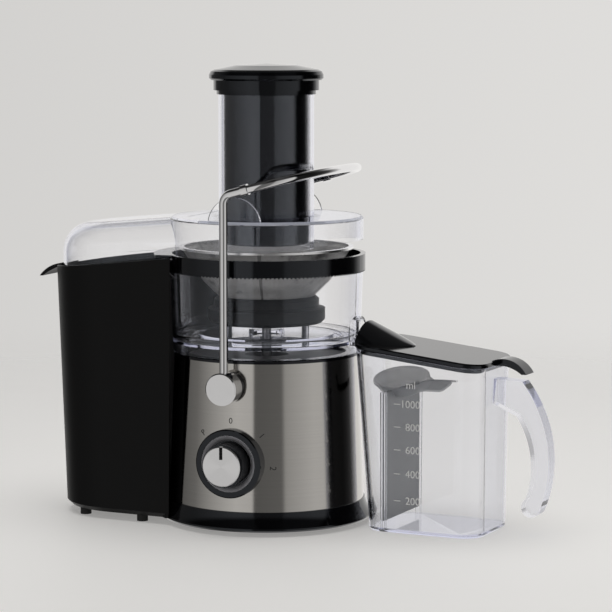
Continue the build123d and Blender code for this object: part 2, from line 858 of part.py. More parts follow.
side_run = bail_side_share * grip_l
tip_half = bail_tip_share * bail_leg_y
side_turn = atan2(bail_leg_y - tip_half, grip_l - side_run)
side_slant = hypot(bail_leg_y - tip_half, grip_l - side_run)
side_trim = side_run - bail_grip_start - bail_collar_l
tip_trim = side_slant - side_trim - bail_collar_l / 2
side_bend_r = side_trim / tan(side_turn / 2)
tip_bend_r = tip_trim / tan((radians(90) - side_turn) / 2)
end_plane = Plane(origin=grip_end, x_dir=(0, 1, 0), z_dir=grip_plane.x_dir)
with BuildPart() as bail_grip:
    with BuildLine(grip_plane) as grip_path:
        FilletPolyline(
            (bail_grip_start, -bail_leg_y),
            (side_run, -bail_leg_y),
            (grip_l, -tip_half),
            (grip_l, tip_half),
            (side_run, bail_leg_y),
            (bail_grip_start, bail_leg_y),
            radius=[side_bend_r, tip_bend_r, tip_bend_r, side_bend_r],
        )
    with BuildSketch(end_plane):
        Circle(bail_grip_r)
    sweep(path=grip_path.wires()[0])
    with BuildSketch(end_plane):
        with Locations((0, 0), (2 * bail_leg_y, 0)):
            Circle(bail_collar_r)
    extrude(amount=bail_collar_l)
bail_grip.part.label = "bail_grip"
export_step(bail_grip.part, "parts/bail_grip.step")

# Clear juice bowl with its spout, seal and collar

floor_top = bowl_floor + bowl_wall
step_top = floor_top + bowl_step_h
neck_bore_r = bowl_neck_r - bowl_wall
bowl_lean = (bowl_r - bowl_foot_r) / (bowl_rim - bowl_z)
bowl_floor_r = bowl_foot_r - bowl_wall + bowl_lean * (floor_top - bowl_z)
arch_z = arch_top - arch_w / 2
spout_root = bowl_foot_r - bowl_wall
spout_plane = Plane(origin=(spindle_x + spout_root, 0, 0), x_dir=(0, 1, 0), z_dir=(1, 0, 0))
with BuildPart() as juice_bowl:
    with BuildSketch(half_section()):
        Polygon(
            (bowl_foot_r - bowl_wall, bowl_z),
            (bowl_foot_r, bowl_z),
            (bowl_r, bowl_rim),
            (bowl_r - bowl_wall, bowl_rim),
            (bowl_floor_r, floor_top),
            (bowl_step_r, floor_top),
            (bowl_step_r, step_top),
            (bowl_neck_r, step_top),
            (bowl_neck_r, bowl_neck_top),
            (neck_bore_r, bowl_neck_top),
            (neck_bore_r, bowl_floor),
            (bowl_foot_r - bowl_wall, bowl_floor),
        )
    revolve(axis=spindle)
    with BuildSketch(spout_plane.offset(bowl_wall)):
        with Locations((0, bowl_floor)):
            Rectangle(arch_w, arch_z - bowl_floor, align=(Align.CENTER, Align.MIN))
        with Locations((0, arch_z)):
            Circle(arch_w / 2)
        with Locations((0, bowl_floor)):
            Rectangle(arch_w, arch_w, align=(Align.CENTER, Align.MAX), mode=Mode.SUBTRACT)
    extrude(amount=arch_reach - spout_root - bowl_wall)
    with BuildSketch(spout_plane.offset(bowl_wall)):
        with Locations((0, bowl_floor)):
            Rectangle(spout_w, spout_h, align=(Align.CENTER, Align.MIN))
    extrude(amount=spout_reach - spout_root - bowl_wall)
    with BuildSketch(spout_plane.offset(-bowl_wall)):
        with Locations((0, floor_top)):
            Rectangle(spout_w - 2 * bowl_wall, arch_z - floor_top, align=(Align.CENTER, Align.MIN))
        with Locations((0, bowl_floor + spout_h)):
            Rectangle(arch_w - 2 * bowl_wall, arch_z - bowl_floor - spout_h, align=(Align.CENTER, Align.MIN))
        with Locations((0, arch_z)):
            Circle(arch_w / 2 - bowl_wall)
        with Locations((0, bowl_floor + spout_h)):
            with GridLocations(spout_w + arch_w - 2 * bowl_wall, 0, 2, 1):
                Rectangle(arch_w, arch_w, align=(Align.CENTER, Align.MAX), mode=Mode.SUBTRACT)
        with Locations((0, floor_top)):
            Rectangle(arch_w, arch_w, align=(Align.CENTER, Align.MAX), mode=Mode.SUBTRACT)
    extrude(amount=spout_reach - spout_root + 2 * bowl_wall, mode=Mode.SUBTRACT)
juice_bowl.part.label = "juice_bowl"
export_step(juice_bowl.part, "parts/juice_bowl.step")

with BuildPart() as shaft_seal:
    with BuildSketch(level(bowl_floor)):
        Circle(neck_bore_r - run_gap)
        Circle(shaft_r + run_gap, mode=Mode.SUBTRACT)
    extrude(amount=seal_h)
shaft_seal.part.label = "shaft_seal"
export_step(shaft_seal.part, "parts/shaft_seal.step")

collar_inner_r = collar_r - collar_w
apron_half_w = cover_half_w - lid_wall
with BuildPart() as bowl_collar:
    with BuildSketch(half_section()):
        Polygon(
            (bowl_r + fit_gap, collar_z),
            (collar_r, collar_z),
            (collar_r, collar_top),
            (collar_inner_r, collar_top),
            (collar_inner_r, bowl_rim),
            (bowl_r + fit_gap, bowl_rim),
        )
    revolve(axis=spindle)
    with BuildSketch(level(collar_top - apron_t)):
        Circle(apron_reach)
        with Locations((-apron_reach, 0)):
            Rectangle(2 * (apron_reach - bin_half_w), 2 * apron_half_w, mode=Mode.INTERSECT)
        Circle(collar_r - collar_w / 2, mode=Mode.SUBTRACT)
    extrude(amount=apron_t)
bowl_collar.part.label = "bowl_collar"
export_step(bowl_collar.part, "parts/bowl_collar.step")

# Clear lid with the pulp cover, and the feed chute

cover_axis_x = cover_end_x + cover_half_w
cover_join = sqrt(lid_r**2 - cover_half_w**2)
bin_rise = bin_rim_outer_z - bin_bottom
rim_outer_x = bin_end_x - bin_end_r - bin_rise * (tan(radians(bin_lean)) + tan(radians(bin_taper)))
rim_slope = degrees(atan2(bin_rim_inner_z - bin_rim_outer_z, -bin_half_w - rim_outer_x))


def sloping(x, z, angle):
    """Plane through a point of the middle section that climbs towards +X by the given angle."""
    a = radians(angle)
    return Plane(origin=(spindle_x + x, 0, z), x_dir=(cos(a), 0, sin(a)), z_dir=(-sin(a), 0, cos(a)))


def cover_block(inset):
    """Solid of the pulp cover's outline, drawn in all round by the inset."""
    with BuildPart() as block:
        with BuildSketch(level(bin_entry_z)):
            with Locations((cover_axis_x, 0)):
                Circle(cover_half_w - inset)
                Rectangle(cover_half_w, 2 * cover_half_w, align=(Align.MIN, Align.CENTER), mode=Mode.SUBTRACT)
                Rectangle(
                    -cover_axis_x - cover_join + lid_wall,
                    2 * (cover_half_w - inset),
                    align=(Align.MIN, Align.CENTER),
                )
        extrude(amount=lid_top + fin_rise - bin_entry_z)
        split(bisect_by=sloping(-cover_join, lid_top - inset, cover_slope), keep=Keep.BOTTOM)
        top = block.faces().sort_by(Axis.Z)[-1]
        crown = top.edges().sort_by(Axis.X)[:-1]
        fillet(crown, radius=cover_corner_r - inset)
    return block.part


chute_hole_r = chute_r + skin_gap
with BuildPart() as lid:
    with BuildSketch(half_section()):
        Polygon(
            (chute_hole_r, lid_top),
            (chute_hole_r, collar_top),
            (lid_r, collar_top),
            (lid_r, lid_top),
        )
    revolve(axis=spindle)
    chamfer(lid.edges().group_by(Axis.Z)[-1].sort_by(SortBy.LENGTH)[-1], length=lid_edge)
    add(cover_block(0))
    split(bisect_by=sloping(rim_outer_x, bin_rim_outer_z - cover_nest, rim_slope), keep=Keep.TOP)
    add(cover_block(lid_wall), mode=Mode.SUBTRACT)
    with BuildSketch(level(bin_entry_z)):
        Circle(collar_r + fit_gap)
    extrude(amount=collar_top - bin_entry_z, mode=Mode.SUBTRACT)
    with BuildSketch(level(collar_top)):
        Circle(lid_r - lid_wall)
    extrude(amount=lid_top - lid_wall - collar_top, mode=Mode.SUBTRACT)
    with BuildSketch(front(fin_y)):
        with Locations((0, lid_top + fin_rise - fin_r)):
            Circle(fin_r)
        with Locations((0, lid_top - lid_wall / 2)):
            Rectangle(2 * fin_r, 2 * fin_r, align=(Align.CENTER, Align.MAX), mode=Mode.SUBTRACT)
    extrude(amount=fin_t)
    with BuildSketch(front(-fin_y - fin_t)):
        with Locations((0, lid_top + fin_rise - fin_r)):
            Circle(fin_r)
        with Locations((0, lid_top - lid_wall / 2)):
            Rectangle(2 * fin_r, 2 * fin_r, align=(Align.CENTER, Align.MAX), mode=Mode.SUBTRACT)
    extrude(amount=fin_t)
lid.part.label = "lid"
export_step(lid.part, "parts/lid.step")

flange_top = lid_top - lid_wall
with BuildPart() as feed_chute:
    with BuildSketch(half_section()):
        Polygon(
            (chute_r - chute_wall, chute_bottom),
            (chute_r, chute_bottom),
            (chute_r, flange_top - chute_flange_t),
            (chute_flange_r, flange_top - chute_flange_t),
            (chute_flange_r, flange_top),
            (chute_r, flange_top),
            (chute_r, chute_top),
            (chute_r - chute_wall, chute_top),
        )
    revolve(axis=spindle)
feed_chute.part.label = "feed_chute"
export_step(feed_chute.part, "parts/feed_chute.step")

# Pusher

cap_z = chute_top + cap_seat
pusher_top = cap_z + cap_step_h
collar_end = pusher_top + cap_collar_h
brim_end = collar_end + cap_brim_h
with BuildPart() as pusher_body:
    with BuildSketch(half_section()):
        Polygon(
            (0, pusher_bottom),
            (pusher_r, pusher_bottom),
            (pusher_r, pusher_top),
            (pusher_r - pusher_wall, pusher_top),
            (pusher_r - pusher_wall, pusher_bottom + pusher_wall),
            (0, pusher_bottom + pusher_wall),
        )
    revolve(axis=spindle)
    chamfer(pusher_body.edges().group_by(Axis.Z)[0], length=pusher_wall / 2)
pusher_body.part.label = "pusher_body"
export_step(pusher_body.part, "parts/pusher_body.step")

with BuildPart() as pusher_cap:
    with BuildSketch(half_section()):
        Polygon(
            (0, brim_end + cap_dome_h),
            (0, pusher_top),
            (pusher_r + skin_gap, pusher_top),
            (pusher_r + skin_gap, cap_z),
            (cap_step_r, cap_z),
            (cap_step_r, pusher_top),
            (cap_collar_r, pusher_top),
            (cap_collar_r, collar_end),
            (cap_brim_r - cap_round / 3, collar_end),
            (cap_brim_r, collar_end + cap_round / 3),
            (cap_brim_r, brim_end - cap_round),
            (cap_brim_r - cap_round / 3, brim_end - cap_round / 3),
            (cap_brim_r - cap_round, brim_end),
            (cap_dome_share * cap_brim_r, brim_end + cap_dome_h - cap_dome_fall),
        )
    revolve(axis=spindle)
pusher_cap.part.label = "pusher_cap"
export_step(pusher_cap.part, "parts/pusher_cap.step")

# Drive coupling and filter basket

with BuildPart() as drive_coupling:
    with BuildSketch(level(coupling_z)):
        Circle(coupling_r)
        with PolarLocations(coupling_r, coupling_lugs):
            Rectangle(2 * lug_l, lug_w)
        Circle(shaft_r, mode=Mode.SUBTRACT)
    extrude(amount=coupling_h)
drive_coupling.part.label = "drive_coupling"
export_step(drive_coupling.part, "parts/drive_coupling.step")

hub_plate_z = basket_floor_z - hub_wall
socket_r = coupling_r + fit_gap
with BuildPart() as basket_hub:
    with BuildSketch(half_section()):
        Polygon(
            (hub_skirt_r - hub_wall, hub_skirt_z),
            (hub_skirt_r, hub_skirt_z + hub_wall),
            (hub_skirt_r, hub_shoulder_z),
            (hub_neck_r, hub_shoulder_z + hub_wall / 2),
            (hub_neck_r, hub_plate_z),
            (basket_floor_r, basket_floor_z),
            (0, basket_floor_z),
            (0, hub_plate_z),
            (basket_floor_r - hub_wall, hub_plate_z),
            (hub_neck_r - hub_wall, hub_plate_z - hub_wall / 2),
            (hub_neck_r - hub_wall, hub_shoulder_z - hub_wall / 2),
            (hub_skirt_r - hub_wall, hub_shoulder_z - hub_wall),
        )
    revolve(axis=spindle)
    with BuildSketch(level(coupling_z + fit_gap)):
        Circle(socket_r + lug_l + hub_wall)
        Circle(socket_r, mode=Mode.SUBTRACT)
        with PolarLocations(coupling_r, coupling_lugs):
            Rectangle(2 * (lug_l + fit_gap), lug_w + 2 * fit_gap, mode=Mode.SUBTRACT)
    extrude(amount=hub_plate_z - coupling_z - fit_gap)
basket_hub.part.label = "basket_hub"
export_step(basket_hub.part, "parts/basket_hub.step")

with BuildPart() as basket_mesh:
    with BuildSketch(half_section()):
        Polygon(
            (basket_floor_r - basket_sheet, basket_floor_z),
            (basket_floor_r, basket_floor_z),
            (basket_waist_r, basket_waist_z),
            (basket_rim_r, basket_rim_z),
            (basket_rim_r - basket_sheet, basket_rim_z),
            (basket_waist_r - basket_sheet, basket_waist_z),
        )
    revolve(axis=spindle)
basket_mesh.part.label = "basket_mesh"
export_step(basket_mesh.part, "parts/basket_mesh.step")

with BuildPart() as basket_rim:
    with BuildSketch(level(basket_rim_z)):
        Circle(basket_rim_r + rim_w / 2)
        Circle(basket_rim_r - rim_w / 2, mode=Mode.SUBTRACT)
    extrude(amount=rim_t)
basket_rim.part.label = "basket_rim"
export_step(basket_rim.part, "parts/basket_rim.step")

tooth_start = grater_r / 4
tooth_pitch = (grater_r - tooth_start - tooth_l) / grater_teeth
with BuildPart() as grater_disc:
    with BuildSketch(level(basket_floor_z)):
        Circle(grater_r)
    extrude(amount=grater_t)
    with BuildSketch(level(basket_floor_z + grater_t)):
        for row in range(grater_rows):
            for step in range(grater_teeth):
                turn = 360 / grater_rows * (row + step / grater_teeth)
                with PolarLocations(tooth_start + step * tooth_pitch + tooth_l / 2, 1, start_angle=turn):
                    Triangle(a=tooth_l, B=tooth_angle, C=tooth_angle, rotation=turn)
    extrude(amount=tooth_h, taper=15)
    with BuildSketch(level(basket_floor_z + grater_t)):
        Circle(tooth_start - tooth_l / 2)
    extrude(amount=tooth_h)
grater_disc.part.label = "grater_disc"
export_step(grater_disc.part, "parts/grater_disc.step")

# Pulp bin

bin_inner_r = plinth_r + bin_gap
bin_inner_x = 2 * bin_edge - sqrt(bin_inner_r**2 - bin_half_w**2)


def tub_block(inset, floor_z):
    """Solid of the bin's leaning, tapering outline above a height, drawn in by the inset."""
    end_r = bin_end_r - inset
    half_w = bin_half_w - inset
    run = bin_inner_x - bin_end_x
    touch = atan2(half_w, run) + acos(end_r / hypot(half_w, run))
    side = (bin_end_x + end_r * cos(touch), end_r * sin(touch))
    with BuildPart() as block:
        with BuildSketch(sloping(0, bin_bottom, bin_lean)):
            with BuildLine():
                Line((bin_inner_x, -half_w), (side[0], -side[1]))
                ThreePointArc((side[0], -side[1]), (bin_end_x - end_r, 0), side)
                Line(side, (bin_inner_x, half_w))
                Line((bin_inner_x, half_w), (bin_inner_x, -half_w))
            make_face()
        extrude(amount=bin_rim_inner_z, taper=-bin_taper)
        split(bisect_by=level(floor_z), keep=Keep.TOP)
    return block.part


bin_block_top = bin_rim_inner_z + bin_edge
lip_root_x = rim_outer_x + bin_wall
with BuildPart() as pulp_bin:
    add(tub_block(0, bin_bottom))
    chamfer(pulp_bin.faces().sort_by(Axis.Z)[0].edges(), length=bin_edge)
    add(tub_block(bin_wall, bin_bottom + bin_wall), mode=Mode.SUBTRACT)
    with BuildSketch(level(bin_bottom)):
        Circle(bin_inner_r + bin_wall)
        with Locations((bin_end_x, 0)):
            Rectangle(-2 * bin_end_x, 2 * bin_half_w - bin_wall, mode=Mode.INTERSECT)
    extrude(amount=bin_block_top - bin_bottom)
    with BuildSketch(level(bin_bottom)):
        Circle(bin_inner_r)
    extrude(amount=bin_block_top - bin_bottom, mode=Mode.SUBTRACT)
    with BuildSketch(level(bin_entry_z)):
        Rectangle(2 * (bin_inner_r + 2 * bin_wall), 2 * bin_entry_half_w)
    extrude(amount=bin_block_top - bin_entry_z, mode=Mode.SUBTRACT)
    split(bisect_by=sloping(rim_outer_x, bin_rim_outer_z, rim_slope), keep=Keep.BOTTOM)
    with BuildSketch(front(-bin_lip_w / 2)):
        with BuildLine():
            lip_top = bin_rim_outer_z + bin_lip_t / 2
            lip_end = (-bin_reach, bin_rim_outer_z - bin_lip_drop)
            lip_under = (-bin_reach + bin_lip_t, bin_rim_outer_z - bin_lip_drop)
            ThreePointArc((lip_root_x, lip_top), (rim_outer_x - bin_lip_t, lip_top - bin_lip_t / 2), lip_end)
            Line(lip_end, lip_under)
            ThreePointArc(lip_under, (rim_outer_x - bin_lip_t / 2, lip_top - 1.5 * bin_lip_t),
                          (lip_root_x, lip_top - bin_lip_t))
            Line((lip_root_x, lip_top - bin_lip_t), (lip_root_x, lip_top))
        make_face()
    extrude(amount=bin_lip_w)
pulp_bin.part.label = "pulp_bin"
export_step(pulp_bin.part, "parts/pulp_bin.step")

inner_foot_r = plinth_r + bin_foot_r + bin_inner_foot_gap
with BuildPart() as bin_feet:
    with BuildSketch(level(0)):
        with Locations((bin_end_x - bin_outer_foot_set, 0)):
            with GridLocations(0, 2 * bin_outer_foot_y, 1, 2):
                Circle(bin_foot_r)
        with Locations((-sqrt(inner_foot_r**2 - bin_inner_foot_y**2), 0)):
            with GridLocations(0, 2 * bin_inner_foot_y, 1, 2):
                Circle(bin_foot_r)
    extrude(amount=bin_bottom)
bin_feet.part.label = "bin_feet"
export_step(bin_feet.part, "parts/bin_feet.step")

# Juice jug, in its own turned frame: x along the jug to the handle, z up

jug_a = radians(jug_turn)
jug_s = radians(jug_rim_slope)
along = Vector(cos(jug_a), sin(jug_a), 0)
across = Vector(-sin(jug_a), cos(jug_a), 0)
jug_centre = Vector(spindle_x + jug_x, jug_y, 0)
handle_reach = (jug_reach - jug_x - handle_w / 2 * sin(abs(jug_a))) / cos(jug_a)


def jug_level(z):
    """Horizontal plane at height z in the jug's frame."""
    return Plane(origin=jug_centre + Vector(0, 0, z), x_dir=along)


def jug_cross(x):
    """Upright plane square to the jug's length: local x across the jug, local y up."""
    return Plane(origin=jug_centre + along * x, x_dir=across, z_dir=along)


jug_side = Plane(origin=jug_centre, x_dir=along, z_dir=across * -1)
rim_plane = Plane(
    origin=jug_centre + Vector(0, 0, jug_rim_z),
    x_dir=along * cos(jug_s) - Vector(0, 0, sin(jug_s)),
    z_dir=along * sin(jug_s) + Vector(0, 0, cos(jug_s)),
)


def jug_block(inset, floor_z):
    """Solid of the jug's tapering outline above a height, drawn in by the inset."""
    half_l = jug_floor_l / 2 - inset
    rim_half_l = jug_rim_l / 2 - inset
    half_w = jug_floor_w / 2 - inset
    rim_half_w = jug_rim_w / 2 - inset
    lean = atan2(rim_half_w - half_w, jug_top_z - floor_z)
    with BuildPart() as block:
        with BuildSketch(jug_side):
            Polygon(
                (-half_l, floor_z),
                (half_l, floor_z),
                (jug_rim_shift + rim_half_l, jug_top_z),
                (jug_rim_shift - rim_half_l, jug_top_z),
            )
        extrude(amount=rim_half_w, both=True)
        for side in (1, -1):
            outward = across * side
            foot = jug_centre + outward * half_w + Vector(0, 0, floor_z)
            wall_plane = Plane(origin=foot, x_dir=along, z_dir=outward * cos(lean) - Vector(0, 0, sin(lean)))
            split(bisect_by=wall_plane, keep=Keep.BOTTOM)
        upright = block.edges().filter_by(lambda edge: abs(edge.tangent_at(0.5).Z) > 0.5)
        fillet(upright, radius=jug_corner_r - inset)
    return block.part


rib_y = jug_floor_w / 2 - jug_wall
rib_t = jug_wall / 2
rib_offset = (jug_groove_t + rib_t) / 2
with BuildPart() as jug_body:
    add(jug_block(0, 0))
    chamfer(jug_body.faces().sort_by(Axis.Z)[0].edges(), length=jug_floor_t / 2)
    add(jug_block(jug_wall, jug_floor_t), mode=Mode.SUBTRACT)
    with BuildSketch(jug_level(jug_floor_t)):
        with Locations((jug_groove_x, 0)):
            with GridLocations(2 * rib_offset, 2 * rib_y, 2, 2):
                Rectangle(rib_t, 2 * jug_groove_depth)
    extrude(amount=separator_top - jug_floor_t)
    split(bisect_by=rim_plane, keep=Keep.BOTTOM)
jug_body.part.label = "jug_body"
export_step(jug_body.part, "parts/jug_body.step")

with BuildPart() as jug_handle:
    with BuildSketch(jug_side):
        with BuildLine():
            wall_x = jug_floor_l / 2 - jug_wall / 2
            root_top = (wall_x, handle_top)
            root_end = (wall_x, handle_top - handle_root_h)
            knee_out = (handle_knee, handle_top - jug_wall / 2)
            knee_in = (handle_crook, handle_top - handle_root_h - handle_crook_h)
            tip_out = (handle_reach - handle_t / 2, handle_tip + handle_t / 3)
            tip_in = (handle_reach - handle_tip_share * handle_t, handle_tip + handle_t)
            Line(root_top, knee_out)
            ThreePointArc(knee_out, (handle_reach, handle_mid), tip_out)
            ThreePointArc(tip_out, (handle_reach - handle_t, handle_tip), tip_in)
            ThreePointArc(tip_in, (handle_reach - handle_t, handle_mid + handle_t), knee_in)
            Line(knee_in, root_end)
            Line(root_end, root_top)
        make_face()
    extrude(amount=handle_w / 2, both=True)
    add(jug_block(0, 0), mode=Mode.SUBTRACT)
jug_handle.part.label = "jug_handle"
export_step(jug_handle.part, "parts/jug_handle.step")

boat_x = boat_left + boat_half_w
boat_touch = acos(boat_half_w / (boat_right - boat_x))
boat_side = (boat_x + boat_half_w * cos(boat_touch), boat_half_w * sin(boat_touch))
with BuildPart() as froth_separator:
    with BuildSketch(jug_level(separator_bottom)):
        with Locations((jug_groove_x, 0)):
            Rectangle(separator_t, jug_floor_w - 2 * jug_wall - 2 * fit_gap)
    extrude(amount=separator_top - separator_bottom)
    with BuildSketch(jug_level(separator_top)):
        with BuildLine():
            Line((boat_right, 0), boat_side)
            ThreePointArc(boat_side, (boat_left, 0), (boat_side[0], -boat_side[1]))
            Line((boat_side[0], -boat_side[1]), (boat_right, 0))
        make_face()
    extrude(amount=separator_t)
    with BuildSketch(jug_level(separator_top + separator_t)):
        with BuildLine():
            Line((boat_right, 0), boat_side)
            ThreePointArc(boat_side, (boat_left, 0), (boat_side[0], -boat_side[1]))
            Line((boat_side[0], -boat_side[1]), (boat_right, 0))
        make_face()
        offset(amount=-separator_t, mode=Mode.SUBTRACT)
    extrude(amount=boat_rim_h)
froth_separator.part.label = "froth_separator"
export_step(froth_separator.part, "parts/froth_separator.step")


def lid_top_z(x):
    """Height of the jug lid's upper face at a place along the jug."""
    return jug_rim_z + (jug_lid_gap + jug_lid_t) / cos(jug_s) - x * tan(jug_s)


def hood_block(inset, mouth_x, depth):
    """Solid under the hood: round-topped sections that shrink from the mouth to the end of the ridge."""
    end_x = hood_end_x - inset
    with BuildPart() as block:
        for share in (0.0, 0.35, 0.7, 1.0):
            x = mouth_x + share * (end_x - mouth_x)
            half_w = (hood_half_w - inset) * sqrt(max(1 - share**2, 0.02))
            rise = (hood_rise - inset) * (1 - share) + hood_end_rise
            base = lid_top_z(x) - depth
            brow = lid_top_z(x)
            with BuildSketch(jug_cross(x)):
                with BuildLine():
                    near = hood_y - half_w
                    far = hood_y + half_w
                    ThreePointArc((near, brow), (hood_y, brow + rise), (far, brow))
                    Polyline((far, brow), (far, base), (near, base), (near, brow))
                make_face()
        loft()
    return block.part


hood_depth = jug_lid_t + jug_lid_skirt + 2 * jug_lid_gap
with BuildPart() as jug_lid:
    with BuildSketch(rim_plane.offset(jug_lid_gap)):
        with Locations((jug_rim_shift, 0)):
            RectangleRounded(
                jug_rim_l + 2 * jug_lid_over, jug_rim_w + 2 * jug_lid_over, jug_corner_r + jug_lid_over
            )
    extrude(amount=jug_lid_t)
    chamfer(jug_lid.faces().sort_by(Axis.Z)[-1].edges(), length=jug_lid_t / 4)
    with BuildSketch(rim_plane.offset(jug_lid_gap)):
        with Locations((jug_rim_shift, 0)):
            skirt_inset = jug_wall + jug_skirt_gap
            RectangleRounded(
                jug_rim_l - 2 * skirt_inset, jug_rim_w - 2 * skirt_inset, jug_corner_r - skirt_inset
            )
            RectangleRounded(
                jug_rim_l - 2 * (skirt_inset + jug_lid_skirt_t),
                jug_rim_w - 2 * (skirt_inset + jug_lid_skirt_t),
                jug_corner_r - skirt_inset - jug_lid_skirt_t,
                mode=Mode.SUBTRACT,
            )
    extrude(amount=-jug_lid_skirt)
    add(hood_block(0, hood_mouth_x, jug_lid_t / 2))
    add(hood_block(hood_wall, hood_mouth_x - jug_lid_t, hood_depth), mode=Mode.SUBTRACT)
    with BuildSketch(jug_side):
        with BuildLine():
            tab_x = jug_floor_l / 2
            tab_top = lid_top_z(tab_x)
            tab_end = (tab_reach, tab_top - tab_drop)
            tab_under = (tab_reach - tab_t, tab_top - tab_drop)
            ThreePointArc((tab_x, tab_top), ((tab_x + tab_reach) / 2 + tab_t, tab_top + jug_lid_gap), tab_end)
            Line(tab_end, tab_under)
            ThreePointArc(tab_under, ((tab_x + tab_reach) / 2, tab_top - tab_t), (tab_x, tab_top - tab_t))
            Line((tab_x, tab_top - tab_t), (tab_x, tab_top))
        make_face()
    extrude(amount=tab_w / 2, both=True)
jug_lid.part.label = "jug_lid"
export_step(jug_lid.part, "parts/jug_lid.step")
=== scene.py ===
"""Looks of a countertop centrifugal juicer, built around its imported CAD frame."""

import json
import math

import bpy
from bpy.props import FloatProperty, FloatVectorProperty, PointerProperty
from mathutils import Matrix, Vector


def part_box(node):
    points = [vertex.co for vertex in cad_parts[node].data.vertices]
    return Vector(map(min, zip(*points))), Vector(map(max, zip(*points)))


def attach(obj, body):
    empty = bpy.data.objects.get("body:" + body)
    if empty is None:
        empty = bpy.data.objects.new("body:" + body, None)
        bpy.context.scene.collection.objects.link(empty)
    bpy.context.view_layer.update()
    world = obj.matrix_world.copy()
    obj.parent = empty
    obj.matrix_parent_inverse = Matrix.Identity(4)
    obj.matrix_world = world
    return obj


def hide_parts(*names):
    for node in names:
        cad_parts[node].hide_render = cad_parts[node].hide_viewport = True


bl_info = {
    "name": "Centrifugal juicer",
    "version": (1, 0, 0),
    "blender": (4, 5, 0),
    "location": "View3D > Sidebar > Juicer",
    "description": "Finishes, printed marks, small trim and studio for a centrifugal juicer",
    "category": "Object",
}

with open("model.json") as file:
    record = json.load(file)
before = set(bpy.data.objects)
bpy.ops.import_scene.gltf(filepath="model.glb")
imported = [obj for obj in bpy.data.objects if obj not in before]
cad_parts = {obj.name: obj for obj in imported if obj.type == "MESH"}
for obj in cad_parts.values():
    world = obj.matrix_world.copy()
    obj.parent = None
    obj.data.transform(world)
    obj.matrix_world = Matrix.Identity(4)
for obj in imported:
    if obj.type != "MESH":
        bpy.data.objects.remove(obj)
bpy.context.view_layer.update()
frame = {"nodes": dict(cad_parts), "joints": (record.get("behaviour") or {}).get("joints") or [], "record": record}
MM = 0.001
FULL_TURN = 2 * math.pi
QUARTER_TURN = math.pi / 2


def joint_place(name):
    """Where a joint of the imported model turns."""
    for joint in frame["joints"]:
        if joint["name"] == name:
            return Vector(joint["pos_m"])
    raise RuntimeError(f"no joint named {name}")


spindle = joint_place("basket_spin")
knob_axis = joint_place("knob_turn")
wrap_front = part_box("steel_wrap")[0].y
# The jug stands beside the base, set back and turned a little
jug_turn = math.radians(-4.5)
jug_along = Vector((math.cos(jug_turn), math.sin(jug_turn), 0))
jug_centre = Vector((spindle.x + 152.5 * MM, 12 * MM, 0))


class JuicerSizes(bpy.types.PropertyGroup):
    """Sizes of the printed marks and of the surface patterns."""

    mark_height: FloatProperty(
        name="Dial mark height", description="Height of a dial figure",
        default=5.2 * MM, unit="LENGTH")
    mark_circle: FloatProperty(
        name="Dial mark circle", description="Distance of the dial figures from the knob's axis",
        default=35.6 * MM, unit="LENGTH")
    mark_step: FloatProperty(
        name="Dial mark step", description="Turn of the knob from one figure to the next",
        default=math.radians(48.0), subtype="ANGLE")
    ink_thickness: FloatProperty(
        name="Ink thickness", description="Thickness of a printed mark",
        default=0.06 * MM, unit="LENGTH")
    ink_lift: FloatProperty(
        name="Ink lift", description="Gap between a printed mark and what it is printed on",
        default=0.02 * MM, unit="LENGTH")
    scale_height: FloatProperty(
        name="Jug figure height", description="Height of a figure on the jug's scale",
        default=6.6 * MM, unit="LENGTH")
    brush_pitch: FloatProperty(
        name="Brush pitch", description="Mean distance between brush lines on the steel",
        default=0.35 * MM, unit="LENGTH")
    hole_pitch: FloatProperty(
        name="Mesh hole pitch", description="Distance between the basket's holes",
        default=1.3 * MM, unit="LENGTH")
    grain_size: FloatProperty(
        name="Moulding grain", description="Size of the grain on the matte mouldings",
        default=0.7 * MM, unit="LENGTH")


class JuicerColours(bpy.types.PropertyGroup):
    """Colours of the finishes."""

    gloss_black: FloatVectorProperty(
        name="Gloss black", description="Polished black mouldings",
        subtype="COLOR", size=4, default=(0.002, 0.002, 0.0025, 1))
    matte_black: FloatVectorProperty(
        name="Matte black", description="Grained black mouldings",
        subtype="COLOR", size=4, default=(0.0022, 0.0022, 0.0025, 1))
    steel: FloatVectorProperty(
        name="Steel", description="Brushed stainless sheet",
        subtype="COLOR", size=4, default=(0.57, 0.555, 0.53, 1))
    chrome: FloatVectorProperty(
        name="Chrome", description="Bail and hubs",
        subtype="COLOR", size=4, default=(0.82, 0.82, 0.83, 1))
    clear: FloatVectorProperty(
        name="Clear plastic", description="Bowl, lid, chute, jug and handle",
        subtype="COLOR", size=4, default=(0.985, 0.988, 1.0, 1))
    # Painted shade: clear mouldings are painted darker and bluer where they turn away from view
    clear_edge: FloatVectorProperty(
        name="Clear plastic's edge", description="Clear mouldings where they turn away",
        subtype="COLOR", size=4, default=(0.46, 0.5, 0.76, 1))
    clear_depth: FloatVectorProperty(
        name="Clear plastic's depth", description="Clear mouldings where light runs along them",
        subtype="COLOR", size=4, default=(0.5, 0.54, 0.86, 1))
    shine: FloatVectorProperty(
        name="Shine", description="Cool tint of what the polished plastics mirror",
        subtype="COLOR", size=4, default=(0.84, 0.9, 1.0, 1))
    smoke: FloatVectorProperty(
        name="Smoke grey", description="Froth separator",
        subtype="COLOR", size=4, default=(0.25, 0.255, 0.26, 1))
    dial_ink: FloatVectorProperty(
        name="Dial ink", description="Figures round the knob",
        subtype="COLOR", size=4, default=(0.02, 0.02, 0.02, 1))
    scale_ink: FloatVectorProperty(
        name="Scale ink", description="Figures on the jug",
        subtype="COLOR", size=4, default=(0.8, 0.8, 0.8, 1))


